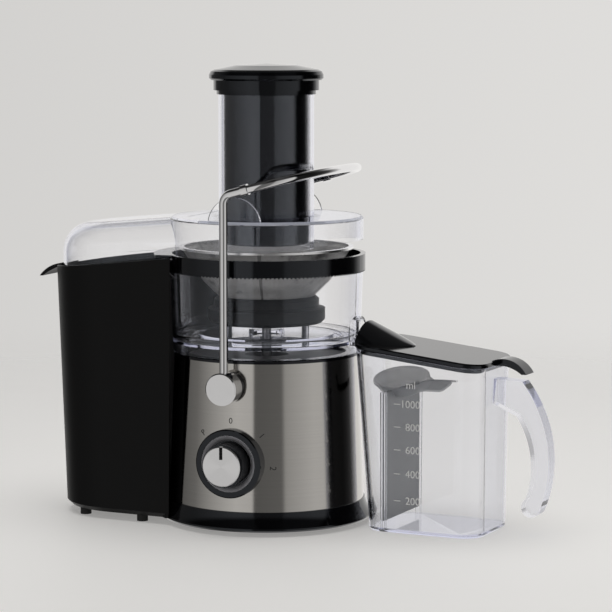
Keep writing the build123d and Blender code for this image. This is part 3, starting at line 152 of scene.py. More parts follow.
class JuicerStudio(bpy.types.PropertyGroup):
    """Backdrop, light and camera."""

    backdrop: FloatVectorProperty(
        name="Backdrop", description="Colour of the floor and of the air behind it",
        subtype="COLOR", size=4, default=(0.69, 0.68, 0.665, 1))
    fill: FloatProperty(
        name="Fill light", description="Strength of the panels round the juicer", default=1.0)
    mirrored: FloatProperty(
        name="Mirrored backdrop", description="Brightness of the backdrop in polished tops",
        default=1.3)
    seen_through: FloatProperty(
        name="Backdrop through clear parts", description="Makes up for light lost in clear walls",
        default=1.18)
    overhead: FloatProperty(
        name="Overhead light", description="Power of the soft light above",
        default=22.0, unit="POWER")
    lens: FloatProperty(
        name="Lens", description="Focal length of the camera", default=152.94, unit="CAMERA")
    camera_place: FloatVectorProperty(
        name="Camera place", description="Camera's place from the spindle's foot",
        subtype="TRANSLATION", size=3, default=(0.833, -2.075, 0.4361))
    camera_turn: FloatProperty(
        name="Camera turn", description="How far the camera stands round to the jug's side",
        default=math.radians(21.0), subtype="ANGLE")
    camera_dip: FloatProperty(
        name="Camera dip", description="How far the camera looks down",
        default=math.radians(6.4), subtype="ANGLE")


def new_material(name):
    """A node material with its tree and its shader."""
    material = bpy.data.materials.new(name)
    material.use_nodes = True
    tree = material.node_tree
    return material, tree, tree.nodes["Principled BSDF"]


def add_node(tree, kind, **values):
    """A node whose inputs or settings are given by name."""
    made = tree.nodes.new(kind)
    for key, value in values.items():
        if key in made.inputs:
            made.inputs[key].default_value = value
        else:
            setattr(made, key, value)
    return made


def math_node(tree, operation, first, second=None):
    """A Math node fed by sockets or numbers."""
    made = tree.nodes.new("ShaderNodeMath")
    made.operation = operation
    for place, value in enumerate((first, second)):
        if value is None:
            continue
        if isinstance(value, bpy.types.NodeSocket):
            tree.links.new(value, made.inputs[place])
        else:
            made.inputs[place].default_value = value
    return made.outputs[0]


def map_range(tree, value, given, wanted, blend="LINEAR"):
    """A value carried from one range to another and held at its ends."""
    made = add_node(tree, "ShaderNodeMapRange", interpolation_type=blend)
    tree.links.new(value, made.inputs["Value"])
    labels = ("From Min", "From Max", "To Min", "To Max")
    for label, number in zip(labels, (*given, *wanted)):
        made.inputs[label].default_value = number
    return made.outputs["Result"]


def span(tree, value, low, high):
    """A value from 0 to 1 spread over a range."""
    return map_range(tree, value, (0.0, 1.0), (low, high))


def split_socket(tree, socket):
    """The three parts of a vector."""
    made = add_node(tree, "ShaderNodeSeparateXYZ")
    tree.links.new(socket, made.inputs["Vector"])
    return made.outputs


def distance(tree, first, second):
    """How far a point lies from the origin of a plane."""
    squares = math_node(
        tree, "ADD", math_node(tree, "MULTIPLY", first, first),
        math_node(tree, "MULTIPLY", second, second))
    return math_node(tree, "SQRT", squares)


def new_group(name, inputs, outputs):
    """A shader node group with named float sockets."""
    group = bpy.data.node_groups.new(name, "ShaderNodeTree")
    for label, value in inputs.items():
        socket = group.interface.new_socket(label, in_out="INPUT", socket_type="NodeSocketFloat")
        socket.default_value = value
    for label in outputs:
        group.interface.new_socket(label, in_out="OUTPUT", socket_type="NodeSocketFloat")
    return group, group.nodes.new("NodeGroupInput"), group.nodes.new("NodeGroupOutput")


def place_group(tree, group, **values):
    """A node group placed in a material with its own values."""
    made = tree.nodes.new("ShaderNodeGroup")
    made.node_tree = group
    for label, value in values.items():
        made.inputs[label.replace("_", " ")].default_value = value
    return made


def moulded_grain():
    """Fine grain of a matte moulding and the handling marks on it."""
    group = bpy.data.node_groups.get("moulded grain")
    if group:
        return group
    group, given, out = new_group(
        "moulded grain", {"Grain scale": 1400.0, "Smudge scale": 22.0}, ("Height", "Smudge"))
    place = add_node(group, "ShaderNodeTexCoord")
    for label, socket, detail in (("Grain scale", "Height", 2.0), ("Smudge scale", "Smudge", 4.0)):
        noise = add_node(group, "ShaderNodeTexNoise", Detail=detail)
        group.links.new(place.outputs["Object"], noise.inputs["Vector"])
        group.links.new(given.outputs[label], noise.inputs["Scale"])
        group.links.new(noise.outputs["Fac"], out.inputs[socket])
    return group


def brush_lines():
    """Brush lines that run level round a sheet."""
    group = bpy.data.node_groups.get("brush lines")
    if group:
        return group
    group, given, out = new_group(
        "brush lines", {"Along": 9.0, "Across": 2800.0}, ("Height", "Shade"))
    place = add_node(group, "ShaderNodeTexCoord")
    stretch = add_node(group, "ShaderNodeCombineXYZ")
    for axis, label in zip("XYZ", ("Along", "Along", "Across")):
        group.links.new(given.outputs[label], stretch.inputs[axis])
    scaled = add_node(group, "ShaderNodeVectorMath", operation="MULTIPLY")
    group.links.new(place.outputs["Object"], scaled.inputs[0])
    group.links.new(stretch.outputs["Vector"], scaled.inputs[1])
    for socket, scale, detail in (("Height", 1.0, 2.0), ("Shade", 0.28, 3.0)):
        noise = add_node(group, "ShaderNodeTexNoise", Scale=scale, Detail=detail)
        group.links.new(scaled.outputs["Vector"], noise.inputs["Vector"])
        group.links.new(noise.outputs["Fac"], out.inputs[socket])
    return group


def add_bump(tree, shader, height, strength, depth):
    """Feeds a height to the shader's normal."""
    bump = add_node(tree, "ShaderNodeBump", Strength=strength, Distance=depth)
    tree.links.new(height, bump.inputs["Height"])
    tree.links.new(bump.outputs["Normal"], shader.inputs["Normal"])


def mix_between(tree, value, first, second, socket):
    """Feeds a colour socket from one colour to another."""
    made = tree.nodes.new("ShaderNodeMix")
    made.data_type = "RGBA"
    # By number, because a Mix node's colour sockets share their names with its float ones
    factor, start, end, result = made.inputs[0], made.inputs[6], made.inputs[7], made.outputs[2]
    tree.links.new(value, factor)
    start.default_value = first
    end.default_value = second
    tree.links.new(result, socket)


def scaled_colour(colour, share):
    """A colour made darker or lighter, with its alpha kept."""
    return (*(min(1.0, c * share) for c in colour[:3]), colour[3])


def uneven(tree, shader, value, colour, shares, roughness):
    """Base colour and roughness that follow a value from 0 to 1."""
    mix_between(tree, value, scaled_colour(colour, shares[0]), scaled_colour(colour, shares[1]),
                shader.inputs["Base Color"])
    tree.links.new(span(tree, value, *roughness), shader.inputs["Roughness"])


def moulded(name, colour, roughness, spread, grain, strength):
    """A black or grey moulding with grain and faint handling marks."""
    material, tree, shader = new_material(name)
    surface = place_group(tree, moulded_grain(), Grain_scale=1.0 / grain)
    uneven(tree, shader, surface.outputs["Smudge"], colour, (0.82, 1.2),
           (roughness - spread, roughness + spread))
    add_bump(tree, shader, surface.outputs["Height"], strength, 0.2 * grain)
    return material


def brushed(name, colour, roughness, along, across, strength):
    """Metal with level brush lines."""
    line_depth = 0.05 * MM
    material, tree, shader = new_material(name)
    shader.inputs["Metallic"].default_value = 1.0
    lines = place_group(tree, brush_lines(), Along=along, Across=across)
    uneven(tree, shader, lines.outputs["Shade"], colour, (0.93, 1.06),
           (0.8 * roughness, 1.2 * roughness))
    add_bump(tree, shader, lines.outputs["Height"], strength, line_depth)
    return material


def polished(name, colour, roughness):
    """Plated metal with faint smudges."""
    material, tree, shader = new_material(name)
    shader.inputs["Metallic"].default_value = 1.0
    surface = place_group(tree, moulded_grain(), Smudge_scale=60.0)
    uneven(tree, shader, surface.outputs["Smudge"], colour, (0.94, 1.04),
           (0.4 * roughness, 1.6 * roughness))
    return material


def spun_metal(name, colour):
    """Metal turned in rings about the knob's axis, with a painted sheen."""
    rings_per_metre, ring_depth = 3200.0, 0.04 * MM
    material, tree, shader = new_material(name)
    shader.inputs["Metallic"].default_value = 1.0
    place = split_socket(tree, add_node(tree, "ShaderNodeTexCoord").outputs["Object"])
    aside = math_node(tree, "SUBTRACT", place["X"], knob_axis.x)
    above = math_node(tree, "SUBTRACT", place["Z"], knob_axis.z)
    rings = add_node(tree, "ShaderNodeTexNoise", noise_dimensions="1D",
                     Scale=rings_per_metre, Detail=2.0)
    tree.links.new(distance(tree, aside, above), rings.inputs["W"])
    # Painted sheen: two bright and two dull fans in the colour, as light on turned metal shows them
    fan = math_node(tree, "ARCTAN2", above, aside)
    painted_sheen_lobes = math_node(tree, "COSINE", math_node(tree, "MULTIPLY", fan, 2.0))
    mix_between(tree, span(tree, painted_sheen_lobes, 0.35, 0.65), scaled_colour(colour, 0.9),
                scaled_colour(colour, 1.12), shader.inputs["Base Color"])
    tree.links.new(span(tree, rings.outputs["Fac"], 0.24, 0.4), shader.inputs["Roughness"])
    add_bump(tree, shader, rings.outputs["Fac"], 0.25, ring_depth)
    return material


def basket_sheet(name, colour, pitch):
    """Fine perforated sheet: staggered rows of holes and three seams about the spindle, with painted light on the
    cone's inside and painted shade on its outside.
    """
    mean_radius, hole_reach = 58 * MM, 0.34
    row_share, seam_place, seam_share = 0.72, 0.62, 0.022
    material, tree, shader = new_material(name)
    shader.inputs["Metallic"].default_value = 0.2
    coordinates = add_node(tree, "ShaderNodeTexCoord")
    place = split_socket(tree, coordinates.outputs["Object"])
    aside = math_node(tree, "SUBTRACT", place["X"], spindle.x)
    around = math_node(tree, "ARCTAN2", place["Y"], aside)
    holes_round = round(FULL_TURN * mean_radius / pitch)
    turn = math_node(tree, "MULTIPLY", around, holes_round / FULL_TURN)
    row = math_node(tree, "DIVIDE", place["Z"], pitch * row_share)
    odd = math_node(tree, "MULTIPLY", math_node(tree, "FLOOR", row), 0.5)
    across = math_node(tree, "SUBTRACT", math_node(
        tree, "FRACT", math_node(tree, "ADD", turn, odd)), 0.5)
    along = math_node(tree, "SUBTRACT", math_node(tree, "FRACT", row), 0.5)
    hole = math_node(tree, "LESS_THAN", distance(tree, across, along), hole_reach)
    third = math_node(tree, "FRACT", math_node(
        tree, "ADD", math_node(tree, "MULTIPLY", around, 3 / FULL_TURN), seam_place))
    seam = math_node(tree, "LESS_THAN", third, seam_share)
    surface = place_group(tree, moulded_grain(), Smudge_scale=70.0)
    cloudy = span(tree, surface.outputs["Smudge"], -1.7, 2.3)
    dark = math_node(tree, "MAXIMUM", math_node(tree, "MAXIMUM", hole, seam), cloudy)
    # Painted light: the cone's inside, which faces up, is painted lighter and its outside is painted darker, as
    # light from above falls on them
    facing = split_socket(tree, coordinates.outputs["Normal"])
    inside = math_node(tree, "GREATER_THAN", facing["Z"], 0.0)
    dark = math_node(
        tree, "MAXIMUM", math_node(tree, "MULTIPLY", dark, span(tree, inside, 1.0, 0.3)),
        span(tree, inside, 0.6, 0.0))
    mix_between(tree, dark, colour, scaled_colour(colour, 0.12), shader.inputs["Base Color"])
    tree.links.new(span(tree, surface.outputs["Smudge"], 0.12, 0.6), shader.inputs["Roughness"])
    tree.links.new(span(tree, hole, 1.0, 0.2), shader.inputs["Alpha"])
    return material


def first_mirrored(tree, path):
    """1 for light that polished metal or plastic mirrors straight to the eye."""
    bent = math_node(tree, "ADD", path.outputs["Ray Depth"], path.outputs["Is Transmission Ray"])
    return math_node(tree, "MULTIPLY", path.outputs["Is Glossy Ray"],
                     math_node(tree, "LESS_THAN", bent, 1.5))


def clear_plastic(name, colours, density):
    """Clear moulding that lets shadow light through, tints with depth and is painted darker and bluer at its
    edges.
    """
    refraction, edge_power, bounces_kept = 1.47, 4.0, 5.5
    material, tree, shader = new_material(name)
    # Painted shade: the colour goes darker and bluer where the surface turns away from view
    facing = add_node(tree, "ShaderNodeLayerWeight", Blend=0.5)
    edge = math_node(tree, "POWER", facing.outputs["Facing"], edge_power)
    mix_between(tree, edge, tuple(colours.clear), tuple(colours.clear_edge),
                shader.inputs["Base Color"])
    shader.inputs["Transmission Weight"].default_value = 1.0
    shader.inputs["Specular Tint"].default_value = colours.shine
    shader.inputs["IOR"].default_value = refraction
    surface = place_group(tree, moulded_grain(), Smudge_scale=30.0)
    rough = span(tree, surface.outputs["Smudge"], 0.008, 0.032)
    tree.links.new(rough, shader.inputs["Roughness"])
    open_shader = add_node(tree, "ShaderNodeBsdfTransparent")
    open_shader.inputs["Color"].default_value = scaled_colour(tuple(colours.clear), 0.97)
    # Soft light, light caught in a wall for long and what polished pieces mirror go straight on
    path = add_node(tree, "ShaderNodeLightPath")
    soft = math_node(
        tree, "MAXIMUM", path.outputs["Is Shadow Ray"], path.outputs["Is Diffuse Ray"])
    trapped = math_node(tree, "GREATER_THAN", path.outputs["Ray Depth"], bounces_kept)
    passing = math_node(tree, "MAXIMUM", soft, math_node(
        tree, "MAXIMUM", trapped, first_mirrored(tree, path)))
    mix = add_node(tree, "ShaderNodeMixShader")
    tree.links.new(passing, mix.inputs["Fac"])
    tree.links.new(shader.outputs["BSDF"], mix.inputs[1])
    tree.links.new(open_shader.outputs["BSDF"], mix.inputs[2])
    output = tree.nodes["Material Output"]
    tree.links.new(mix.outputs["Shader"], output.inputs["Surface"])
    depth = add_node(tree, "ShaderNodeVolumeAbsorption", Density=density)
    depth.inputs["Color"].default_value = tuple(colours.clear_depth)
    tree.links.new(depth.outputs["Volume"], output.inputs["Volume"])
    return material


def smoky(name, colour, cover):
    """Translucent moulding, with the share of light that one face stops."""
    material = moulded(name, colour, 0.3, 0.06, 0.9 * MM, 0.1)
    tree = material.node_tree
    mirrored = first_mirrored(tree, add_node(tree, "ShaderNodeLightPath"))
    tree.links.new(span(tree, mirrored, cover, 0.0), tree.nodes["Principled BSDF"].inputs["Alpha"])
    return material


def printed(name, colour):
    """Ink with a slightly uneven print."""
    return moulded(name, colour, 0.5, 0.08, 0.4 * MM, 0.05)


def give(piece, material):
    """Makes a material the only one of a piece."""
    piece.data.materials.clear()
    piece.data.materials.append(material)


def finish_nodes(material, slot):
    """Gives a material to every CAD node of one finish."""
    for part in frame["record"]["subparts"]:
        if part["material_slot"] == slot:
            give(frame["nodes"][part["node"]], material)


def deselect():
    """Leaves nothing selected."""
    if bpy.context.object and bpy.context.object.mode != "OBJECT":
        bpy.ops.object.mode_set(mode="OBJECT")
    bpy.ops.object.select_all(action="DESELECT")


def only(piece):
    """Selects one piece and makes it active."""
    deselect()
    piece.select_set(True)
    bpy.context.view_layer.objects.active = piece


def edit(piece):
    """Opens one piece in edit mode with all of it selected."""
    only(piece)
    bpy.ops.object.mode_set(mode="EDIT")
    bpy.ops.mesh.select_all(action="SELECT")


def smooth_outwards():
    """Closes edit mode with smooth faces that point outwards."""
    bpy.ops.mesh.select_all(action="SELECT")
    bpy.ops.mesh.normals_make_consistent(inside=False)
    bpy.ops.mesh.faces_shade_smooth()
    bpy.ops.object.mode_set(mode="OBJECT")


def apply_place(piece):
    """Puts a piece's place into its mesh."""
    only(piece)
    bpy.ops.object.transform_apply(location=True, rotation=True, scale=True)
    return piece


def block(size, place, turn=0.0):
    """A block with its place in its mesh."""
    deselect()
    bpy.ops.mesh.primitive_cube_add(size=1.0, location=place, rotation=(0, 0, turn))
    made = bpy.context.object
    made.scale = size
    return apply_place(made)


def ring(points, radius, place=(0, 0, 0), turn=(0, 0, 0)):
    """A ring of points with its place in its mesh."""
    deselect()
    bpy.ops.mesh.primitive_circle_add(
        vertices=points, radius=radius, location=place, rotation=turn)
    return apply_place(bpy.context.object)


def rename(piece, name):
    """Names a piece and its mesh."""
    piece.name = name
    piece.data.name = name
    return piece


def join(pieces, name):
    """Joins pieces into one of that name."""
    deselect()
    for piece in pieces:
        piece.select_set(True)
    bpy.context.view_layer.objects.active = pieces[0]
    bpy.ops.object.join()
    return rename(bpy.context.object, name)


def figure(text, height, side):
    """A flat figure as a mesh on the level plane."""
    capital_share = 0.73
    deselect()
    bpy.ops.object.text_add()
    made = bpy.context.object
    made.data.body = text
    made.data.size = height / capital_share
    made.data.align_x = side
    made.data.align_y = "CENTER"
    made.data.resolution_u = 4
    bpy.ops.object.convert(target="MESH")
    return bpy.context.object


def tick(length, height):
    """A flat stroke as a mesh on the level plane, from the origin to one side."""
    deselect()
    bpy.ops.mesh.primitive_plane_add(size=1.0, location=(length / 2, 0, 0))
    made = bpy.context.object
    made.scale = (length, height, 1.0)
    apply_place(made)
    edit(made)
    bpy.ops.mesh.bevel(offset=height / 3, segments=3, affect="VERTICES")
    bpy.ops.object.mode_set(mode="OBJECT")
    return made


def stand_on(piece, place, right, out):
    """Sets a flat mesh on a surface: its x along right, its face towards out."""
    up = out.cross(right)
    turn = Matrix((right, up, out)).transposed().to_4x4()
    piece.matrix_world = Matrix.Translation(place) @ turn
    return apply_place(piece)


def apply_modifier(piece, name, kind, **values):
    """Adds a modifier with its settings and applies it."""
    only(piece)
    made = piece.modifiers.new(name, kind)
    for key, value in values.items():
        setattr(made, key, value)
    bpy.ops.object.modifier_apply(modifier=made.name)
    return piece


def print_onto(piece, node, sizes):
    """Projects flat figures from the front onto a curved node and gives the ink its thickness."""
    apply_modifier(
        piece, "on_surface", "SHRINKWRAP", target=frame["nodes"][node], wrap_method="PROJECT",
        use_project_y=True, use_negative_direction=True, use_positive_direction=True,
        offset=sizes.ink_lift)
    return apply_modifier(piece, "ink", "SOLIDIFY", thickness=sizes.ink_thickness, offset=1.0)


def thicken(piece, thickness):
    """Gives a shell its wall."""
    return apply_modifier(piece, "thickness", "SOLIDIFY", thickness=thickness)


def soften(piece, width):
    """Rounds a piece's sharp edges a little."""
    return apply_modifier(piece, "edge", "BEVEL", width=width, segments=2)


def dress(piece, material, body):
    """Material and body of a new piece."""
    give(piece, material)
    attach(piece, body)


def select_points(piece, wanted):
    """Selects, in edit mode, the points whose place is wanted."""
    bpy.ops.mesh.select_all(action="DESELECT")
    bpy.ops.object.mode_set(mode="OBJECT")
    for point in piece.data.vertices:
        point.select = wanted(point.co)
    bpy.ops.object.mode_set(mode="EDIT")


class JUICER_OT_black_mouldings(bpy.types.Operator):
    """Finish the black and grey mouldings and the rubber"""

    bl_idname = "juicer.black_mouldings"
    bl_label = "Black mouldings"

    def execute(self, context):
        sizes, colours = context.scene.juicer_sizes, context.scene.juicer_colours
        rubber, grey = (0.012, 0.012, 0.012, 1), (0.12, 0.12, 0.125, 1)
        made = {}
        # Finish: name, colour, roughness and its spread, grain, strength of the grain
        for slot, values in {
            "gloss_black": (
                "polished black", tuple(colours.gloss_black), 0.08, 0.03, 6 * MM, 0.01),
            "matte_black": (
                "grained black", tuple(colours.matte_black), 0.48, 0.06, sizes.grain_size, 0.16),
            "rubber": ("black rubber", rubber, 0.75, 0.1, 1.2 * MM, 0.2),
            "inner_grey": ("plain grey moulding", grey, 0.5, 0.08, 1 * MM, 0.1),
        }.items():
            material = moulded(*values)
            finish_nodes(material, slot)
            made[slot] = material.node_tree.nodes["Principled BSDF"]
        made["gloss_black"].inputs["Specular Tint"].default_value = colours.shine
        made["matte_black"].inputs["Specular IOR Level"].default_value = 0.18
        return {"FINISHED"}


class JUICER_OT_metals(bpy.types.Operator):
    """Finish the steel, chrome, spun metal and motor metals"""

    bl_idname = "juicer.metals"
    bl_label = "Metals"

    def execute(self, context):
        sizes, colours = context.scene.juicer_sizes, context.scene.juicer_colours
        across = 1.0 / sizes.brush_pitch
        # Finish: name, colour, roughness, lines to a metre along and across, strength
        for slot, values in {
            "brushed_steel": ("brushed stainless", tuple(colours.steel), 0.1, 7.0, across, 0.08),
            "machined_steel": ("turned steel", (0.5, 0.5, 0.51, 1), 0.3, 30.0, across, 0.2),
            "cast_alloy": ("cast alloy", (0.5, 0.5, 0.5, 1), 0.5, 300.0, 300.0, 0.3),
            "motor_iron": ("laminated iron", (0.17, 0.17, 0.18, 1), 0.5, 4.0, 1600.0, 0.4),
            "copper": ("copper winding", (0.6, 0.3, 0.15, 1), 0.35, 40.0, 1200.0, 0.5),
        }.items():
            finish_nodes(brushed(*values), slot)
        finish_nodes(polished("mirror chrome", tuple(colours.chrome), 0.05), "chrome")
        finish_nodes(spun_metal("spun satin metal", (0.86, 0.86, 0.87, 1)), "spun_metal")
        sheet = basket_sheet("perforated steel", (0.93, 0.92, 0.91, 1), sizes.hole_pitch)
        finish_nodes(sheet, "mesh_steel")
        rim = polished("bright rolled rim", (0.92, 0.92, 0.93, 1), 0.25)
        give(frame["nodes"]["basket_rim"], rim)
        return {"FINISHED"}


class JUICER_OT_clear_parts(bpy.types.Operator):
    """Finish the clear mouldings and the smoke grey separator"""

    bl_idname = "juicer.clear_parts"
    bl_label = "Clear parts"

    def execute(self, context):
        colours = context.scene.juicer_colours
        finish_nodes(clear_plastic("clear moulding", colours, 8.0), "clear")
        for part, density in (("juice_bowl", 3.5), ("lid", 5.0)):
            give(frame["nodes"][part], clear_plastic("clear " + part, colours, density))
        finish_nodes(smoky("smoke grey moulding", tuple(colours.smoke), 0.86), "smoke_grey")
        return {"FINISHED"}


class JUICER_OT_dial_marks(bpy.types.Operator):
    """Print the figures round the speed knob on the steel"""

    bl_idname = "juicer.dial_marks"
    bl_label = "Dial marks"

    def execute(self, context):
        sizes, colours = context.scene.juicer_sizes, context.scene.juicer_colours
        stand_off = 5 * MM
        figures = []
        for step, text in ((-1, "P"), (0, "0"), (1, "1"), (2, "2")):
            angle = step * sizes.mark_step
            made = figure(text, sizes.mark_height, "CENTER")
            aside = sizes.mark_circle * math.sin(angle)
            above = sizes.mark_circle * math.cos(angle)
            place = Vector((knob_axis.x + aside, wrap_front - stand_off, knob_axis.z + above))
            right = Vector((math.cos(angle), 0, -math.sin(angle)))
            figures.append(stand_on(made, place, right, Vector((0, -1, 0))))
        marks = print_onto(join(figures, "dial_marks"), "steel_wrap", sizes)
        dress(marks, printed("dial ink", tuple(colours.dial_ink)), "base")
        return {"FINISHED"}


class JUICER_OT_knob_pointer(bpy.types.Operator):
    """Lay the dark pointer in the slot of the knob's cap"""

    bl_idname = "juicer.knob_pointer"
    bl_label = "Knob pointer"

    def execute(self, context):
        low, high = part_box("knob_cap")
        size = (2.5 * MM, 0.8 * MM, 10.4 * MM)
        sunk, from_top, rounding = 0.75 * MM, 5.8 * MM, 0.3 * MM
        pointer = block(size, (knob_axis.x, low.y + sunk, high.z - from_top))
        rename(pointer, "knob_pointer")
        edit(pointer)
        bpy.ops.mesh.bevel(offset=rounding, segments=3)
        bpy.ops.object.mode_set(mode="OBJECT")
        dress(pointer, bpy.data.materials["grained black"], "knob")
        return {"FINISHED"}


class JUICER_OT_bezel_dish(bpy.types.Operator):
    """Line the dish round the knob with a grey cone"""

    bl_idname = "juicer.bezel_dish"
    bl_label = "Bezel dish"

    def execute(self, context):
        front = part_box("knob_bezel")[0].y
        radius, set_back, wall = 24.0 * MM, 0.5 * MM, 0.25 * MM
        dish = ring(96, radius, (knob_axis.x, front + set_back, knob_axis.z), (QUARTER_TURN, 0, 0))
        rename(dish, "bezel_dish")
        edit(dish)
        # Each step goes deeper and draws in: a narrow lip, then the cone
        for share, deeper in ((0.985, 0.3 * MM), (0.815, 2.4 * MM)):
            bpy.ops.mesh.extrude_region_move(TRANSFORM_OT_translate={"value": (0, deeper, 0)})
            bpy.ops.transform.resize(
                value=(share, 1, share), center_override=(knob_axis.x, 0, knob_axis.z))
        smooth_outwards()
        thicken(dish, wall)
        grey = moulded("grey dish", (0.45, 0.45, 0.48, 1), 0.35, 0.05, 1 * MM, 0.06)
        dress(dish, grey, "base")
        return {"FINISHED"}


class JUICER_OT_collar_teeth(bpy.types.Operator):
    """Set the row of small teeth under the bowl's collar"""

    bl_idname = "juicer.collar_teeth"
    bl_label = "Collar teeth"

    def execute(self, context):
        low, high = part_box("bowl_collar")
        radius = (high.y - low.y) / 2
        count, size = 150, (1.6 * MM, 1.2 * MM, 1.2 * MM)
        inset, drop, rounding = 0.9 * MM, 0.4 * MM, 0.25 * MM
        teeth = block(size, (spindle.x, -radius + inset, low.z - drop))
        rename(teeth, "collar_teeth")
        edit(teeth)
        bpy.ops.mesh.bevel(offset=rounding, segments=1)
        bpy.ops.mesh.select_all(action="SELECT")
        bpy.ops.mesh.spin(
            steps=count - 1, dupli=True, angle=FULL_TURN * (count - 1) / count,
            center=(spindle.x, 0, low.z), axis=(0, 0, 1))
        bpy.ops.object.mode_set(mode="OBJECT")
        dress(teeth, bpy.data.materials["polished black"], "base")
        return {"FINISHED"}


class JUICER_OT_lid_edge(bpy.types.Operator):
    """Round the lid's top edge with a thin pale strip that paints on its highlight"""

    bl_idname = "juicer.lid_edge"
    bl_label = "Lid edge"

    def execute(self, context):
        lid_height, chamfer = 32 * MM, 2.5 * MM
        half_width, half_thickness, lift = 1.6 * MM, 0.3 * MM, 0.26 * MM
        reach, sections = math.radians(112.0), 112
        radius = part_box("lid")[1].y - chamfer / 2 + lift
        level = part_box("bowl_collar")[1].z + lid_height - chamfer / 2 + lift
        strip = ring(12, 1.0)
        # A flat oval that lies on the lid's chamfer, at one end of the strip
        strip.matrix_world = (
            Matrix.Translation((spindle.x, 0, level))
            @ Matrix.Rotation(QUARTER_TURN + reach, 4, "Z")
            @ Matrix.Translation((0, -radius, 0))
            @ Matrix.Rotation(-QUARTER_TURN / 2, 4, "X")
            @ Matrix.Rotation(QUARTER_TURN, 4, "Y")
            @ Matrix.Diagonal((half_width, half_thickness, 1, 1)))
        apply_place(strip)
        edit(strip)
        bpy.ops.mesh.spin(
            steps=sections, angle=2 * reach, center=(spindle.x, 0, level), axis=(0, 0, 1))
        bpy.ops.mesh.select_all(action="SELECT")
        bpy.ops.mesh.fill_holes(sides=0)
        smooth_outwards()
        # Painted highlight: the strip is pale and half see-through, in place of the light line on the lid's
        # rounded edge
        pale = smoky("lid edge painted highlight", (0.7, 0.73, 0.85, 1), 0.55)
        dress(rename(strip, "lid_edge"), pale, "base")
        return {"FINISHED"}


class JUICER_OT_bowl_ribs(bpy.types.Operator):
    """Stand the two low clear ribs round the bowl's floor"""

    bl_idname = "juicer.bowl_ribs"
    bl_label = "Bowl ribs"

    def execute(self, context):
        floor_rise, gap, wall, rounding = 10.6 * MM, 0.05 * MM, 2.0 * MM, 0.5 * MM
        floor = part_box("juice_bowl")[0].z + floor_rise
        ribs = []
        for radius, height in ((76.5 * MM, 5.0 * MM), (65.0 * MM, 3.0 * MM)):
            rib = ring(128, radius, (spindle.x, 0, floor + gap))
            edit(rib)
            bpy.ops.mesh.extrude_region_move(TRANSFORM_OT_translate={"value": (0, 0, height)})
            bpy.ops.mesh.select_all(action="SELECT")
            bpy.ops.mesh.faces_shade_smooth()
            bpy.ops.object.mode_set(mode="OBJECT")
            ribs.append(soften(thicken(rib, wall), rounding))
        whole = join(ribs, "bowl_ribs")
        dress(whole, bpy.data.materials["clear juice_bowl"], "base")
        return {"FINISHED"}


class JUICER_OT_separator(bpy.types.Operator):
    """Model the froth separator: its wall and the tipped boat on top"""

    bl_idname = "juicer.separator"
    bl_label = "Froth separator"

    def execute(self, context):
        low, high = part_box("froth_separator")
        aside_mm, wall_drop, boat_drop = -33.5, 11.0 * MM, 4.0 * MM
        boat_tip, boat_wall, rounding = math.radians(16.0), 1.8 * MM, 0.4 * MM
        smoke = tuple(context.scene.juicer_colours.smoke)
        foot = jug_centre + jug_along * aside_mm * MM
        wall = self.wall(foot, low.z, high.z - wall_drop)
        boat = self.boat()
        boat.location = foot + Vector((0, 0, high.z - boat_drop))
        boat.rotation_euler = (boat_tip, 0, jug_turn)
        thicken(apply_place(boat), boat_wall)
        for piece in (wall, boat):
            soften(piece, rounding)
        wall.data.materials.append(bpy.data.materials["smoke grey moulding"])
        # Painted light: the boat's copy of the smoke grey is paler and lets more through than the wall, in place
        # of light on its shaded inside
        boat.data.materials.append(smoky("smoke moulding painted lighter", scaled_colour(smoke, 1.3), 0.52))
        whole = join([wall, boat], "separator_boat")
        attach(whole, "jug")
        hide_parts("froth_separator")
        return {"FINISHED"}

    def wall(self, foot, bottom, top):
        """The upright sheet across the jug."""
        thickness, width = 2.0 * MM, 75.8 * MM
        middle = foot + Vector((0, 0, (bottom + top) / 2))
        return block((thickness, width, top - bottom), middle, jug_turn)

    def boat(self):
        """The leaf-shaped boat, level at the origin with its tongue along x."""
        radius = 24.5 * MM
        boat = ring(48, radius)
        edit(boat)
        # The tongue: points within an angle of the x axis are drawn out and in
        for near, out, narrow in ((0.12, 20 * MM, 1.0), (0.2, 5 * MM, 0.45), (0.34, 1 * MM, 0.8)):
            select_points(boat, lambda place: abs(math.atan2(place.y, place.x)) < near)
            bpy.ops.transform.resize(value=(1, narrow, 1), center_override=(0, 0, 0))
            bpy.ops.transform.translate(value=(out, 0, 0))
        bpy.ops.mesh.select_all(action="SELECT")
        # The rim's lip, the side in two steps and the rounded bottom
        for drop, share in ((0.2 * MM, 0.93), (3 * MM, 0.96), (5.5 * MM, 0.84), (1.5 * MM, 0.9)):
            bpy.ops.mesh.extrude_region_move(TRANSFORM_OT_translate={"value": (0, 0, -drop)})
            bpy.ops.transform.resize(value=(share, share, 1), center_override=(0, 0, 0))
        bpy.ops.mesh.edge_face_add()
        smooth_outwards()
        return boat


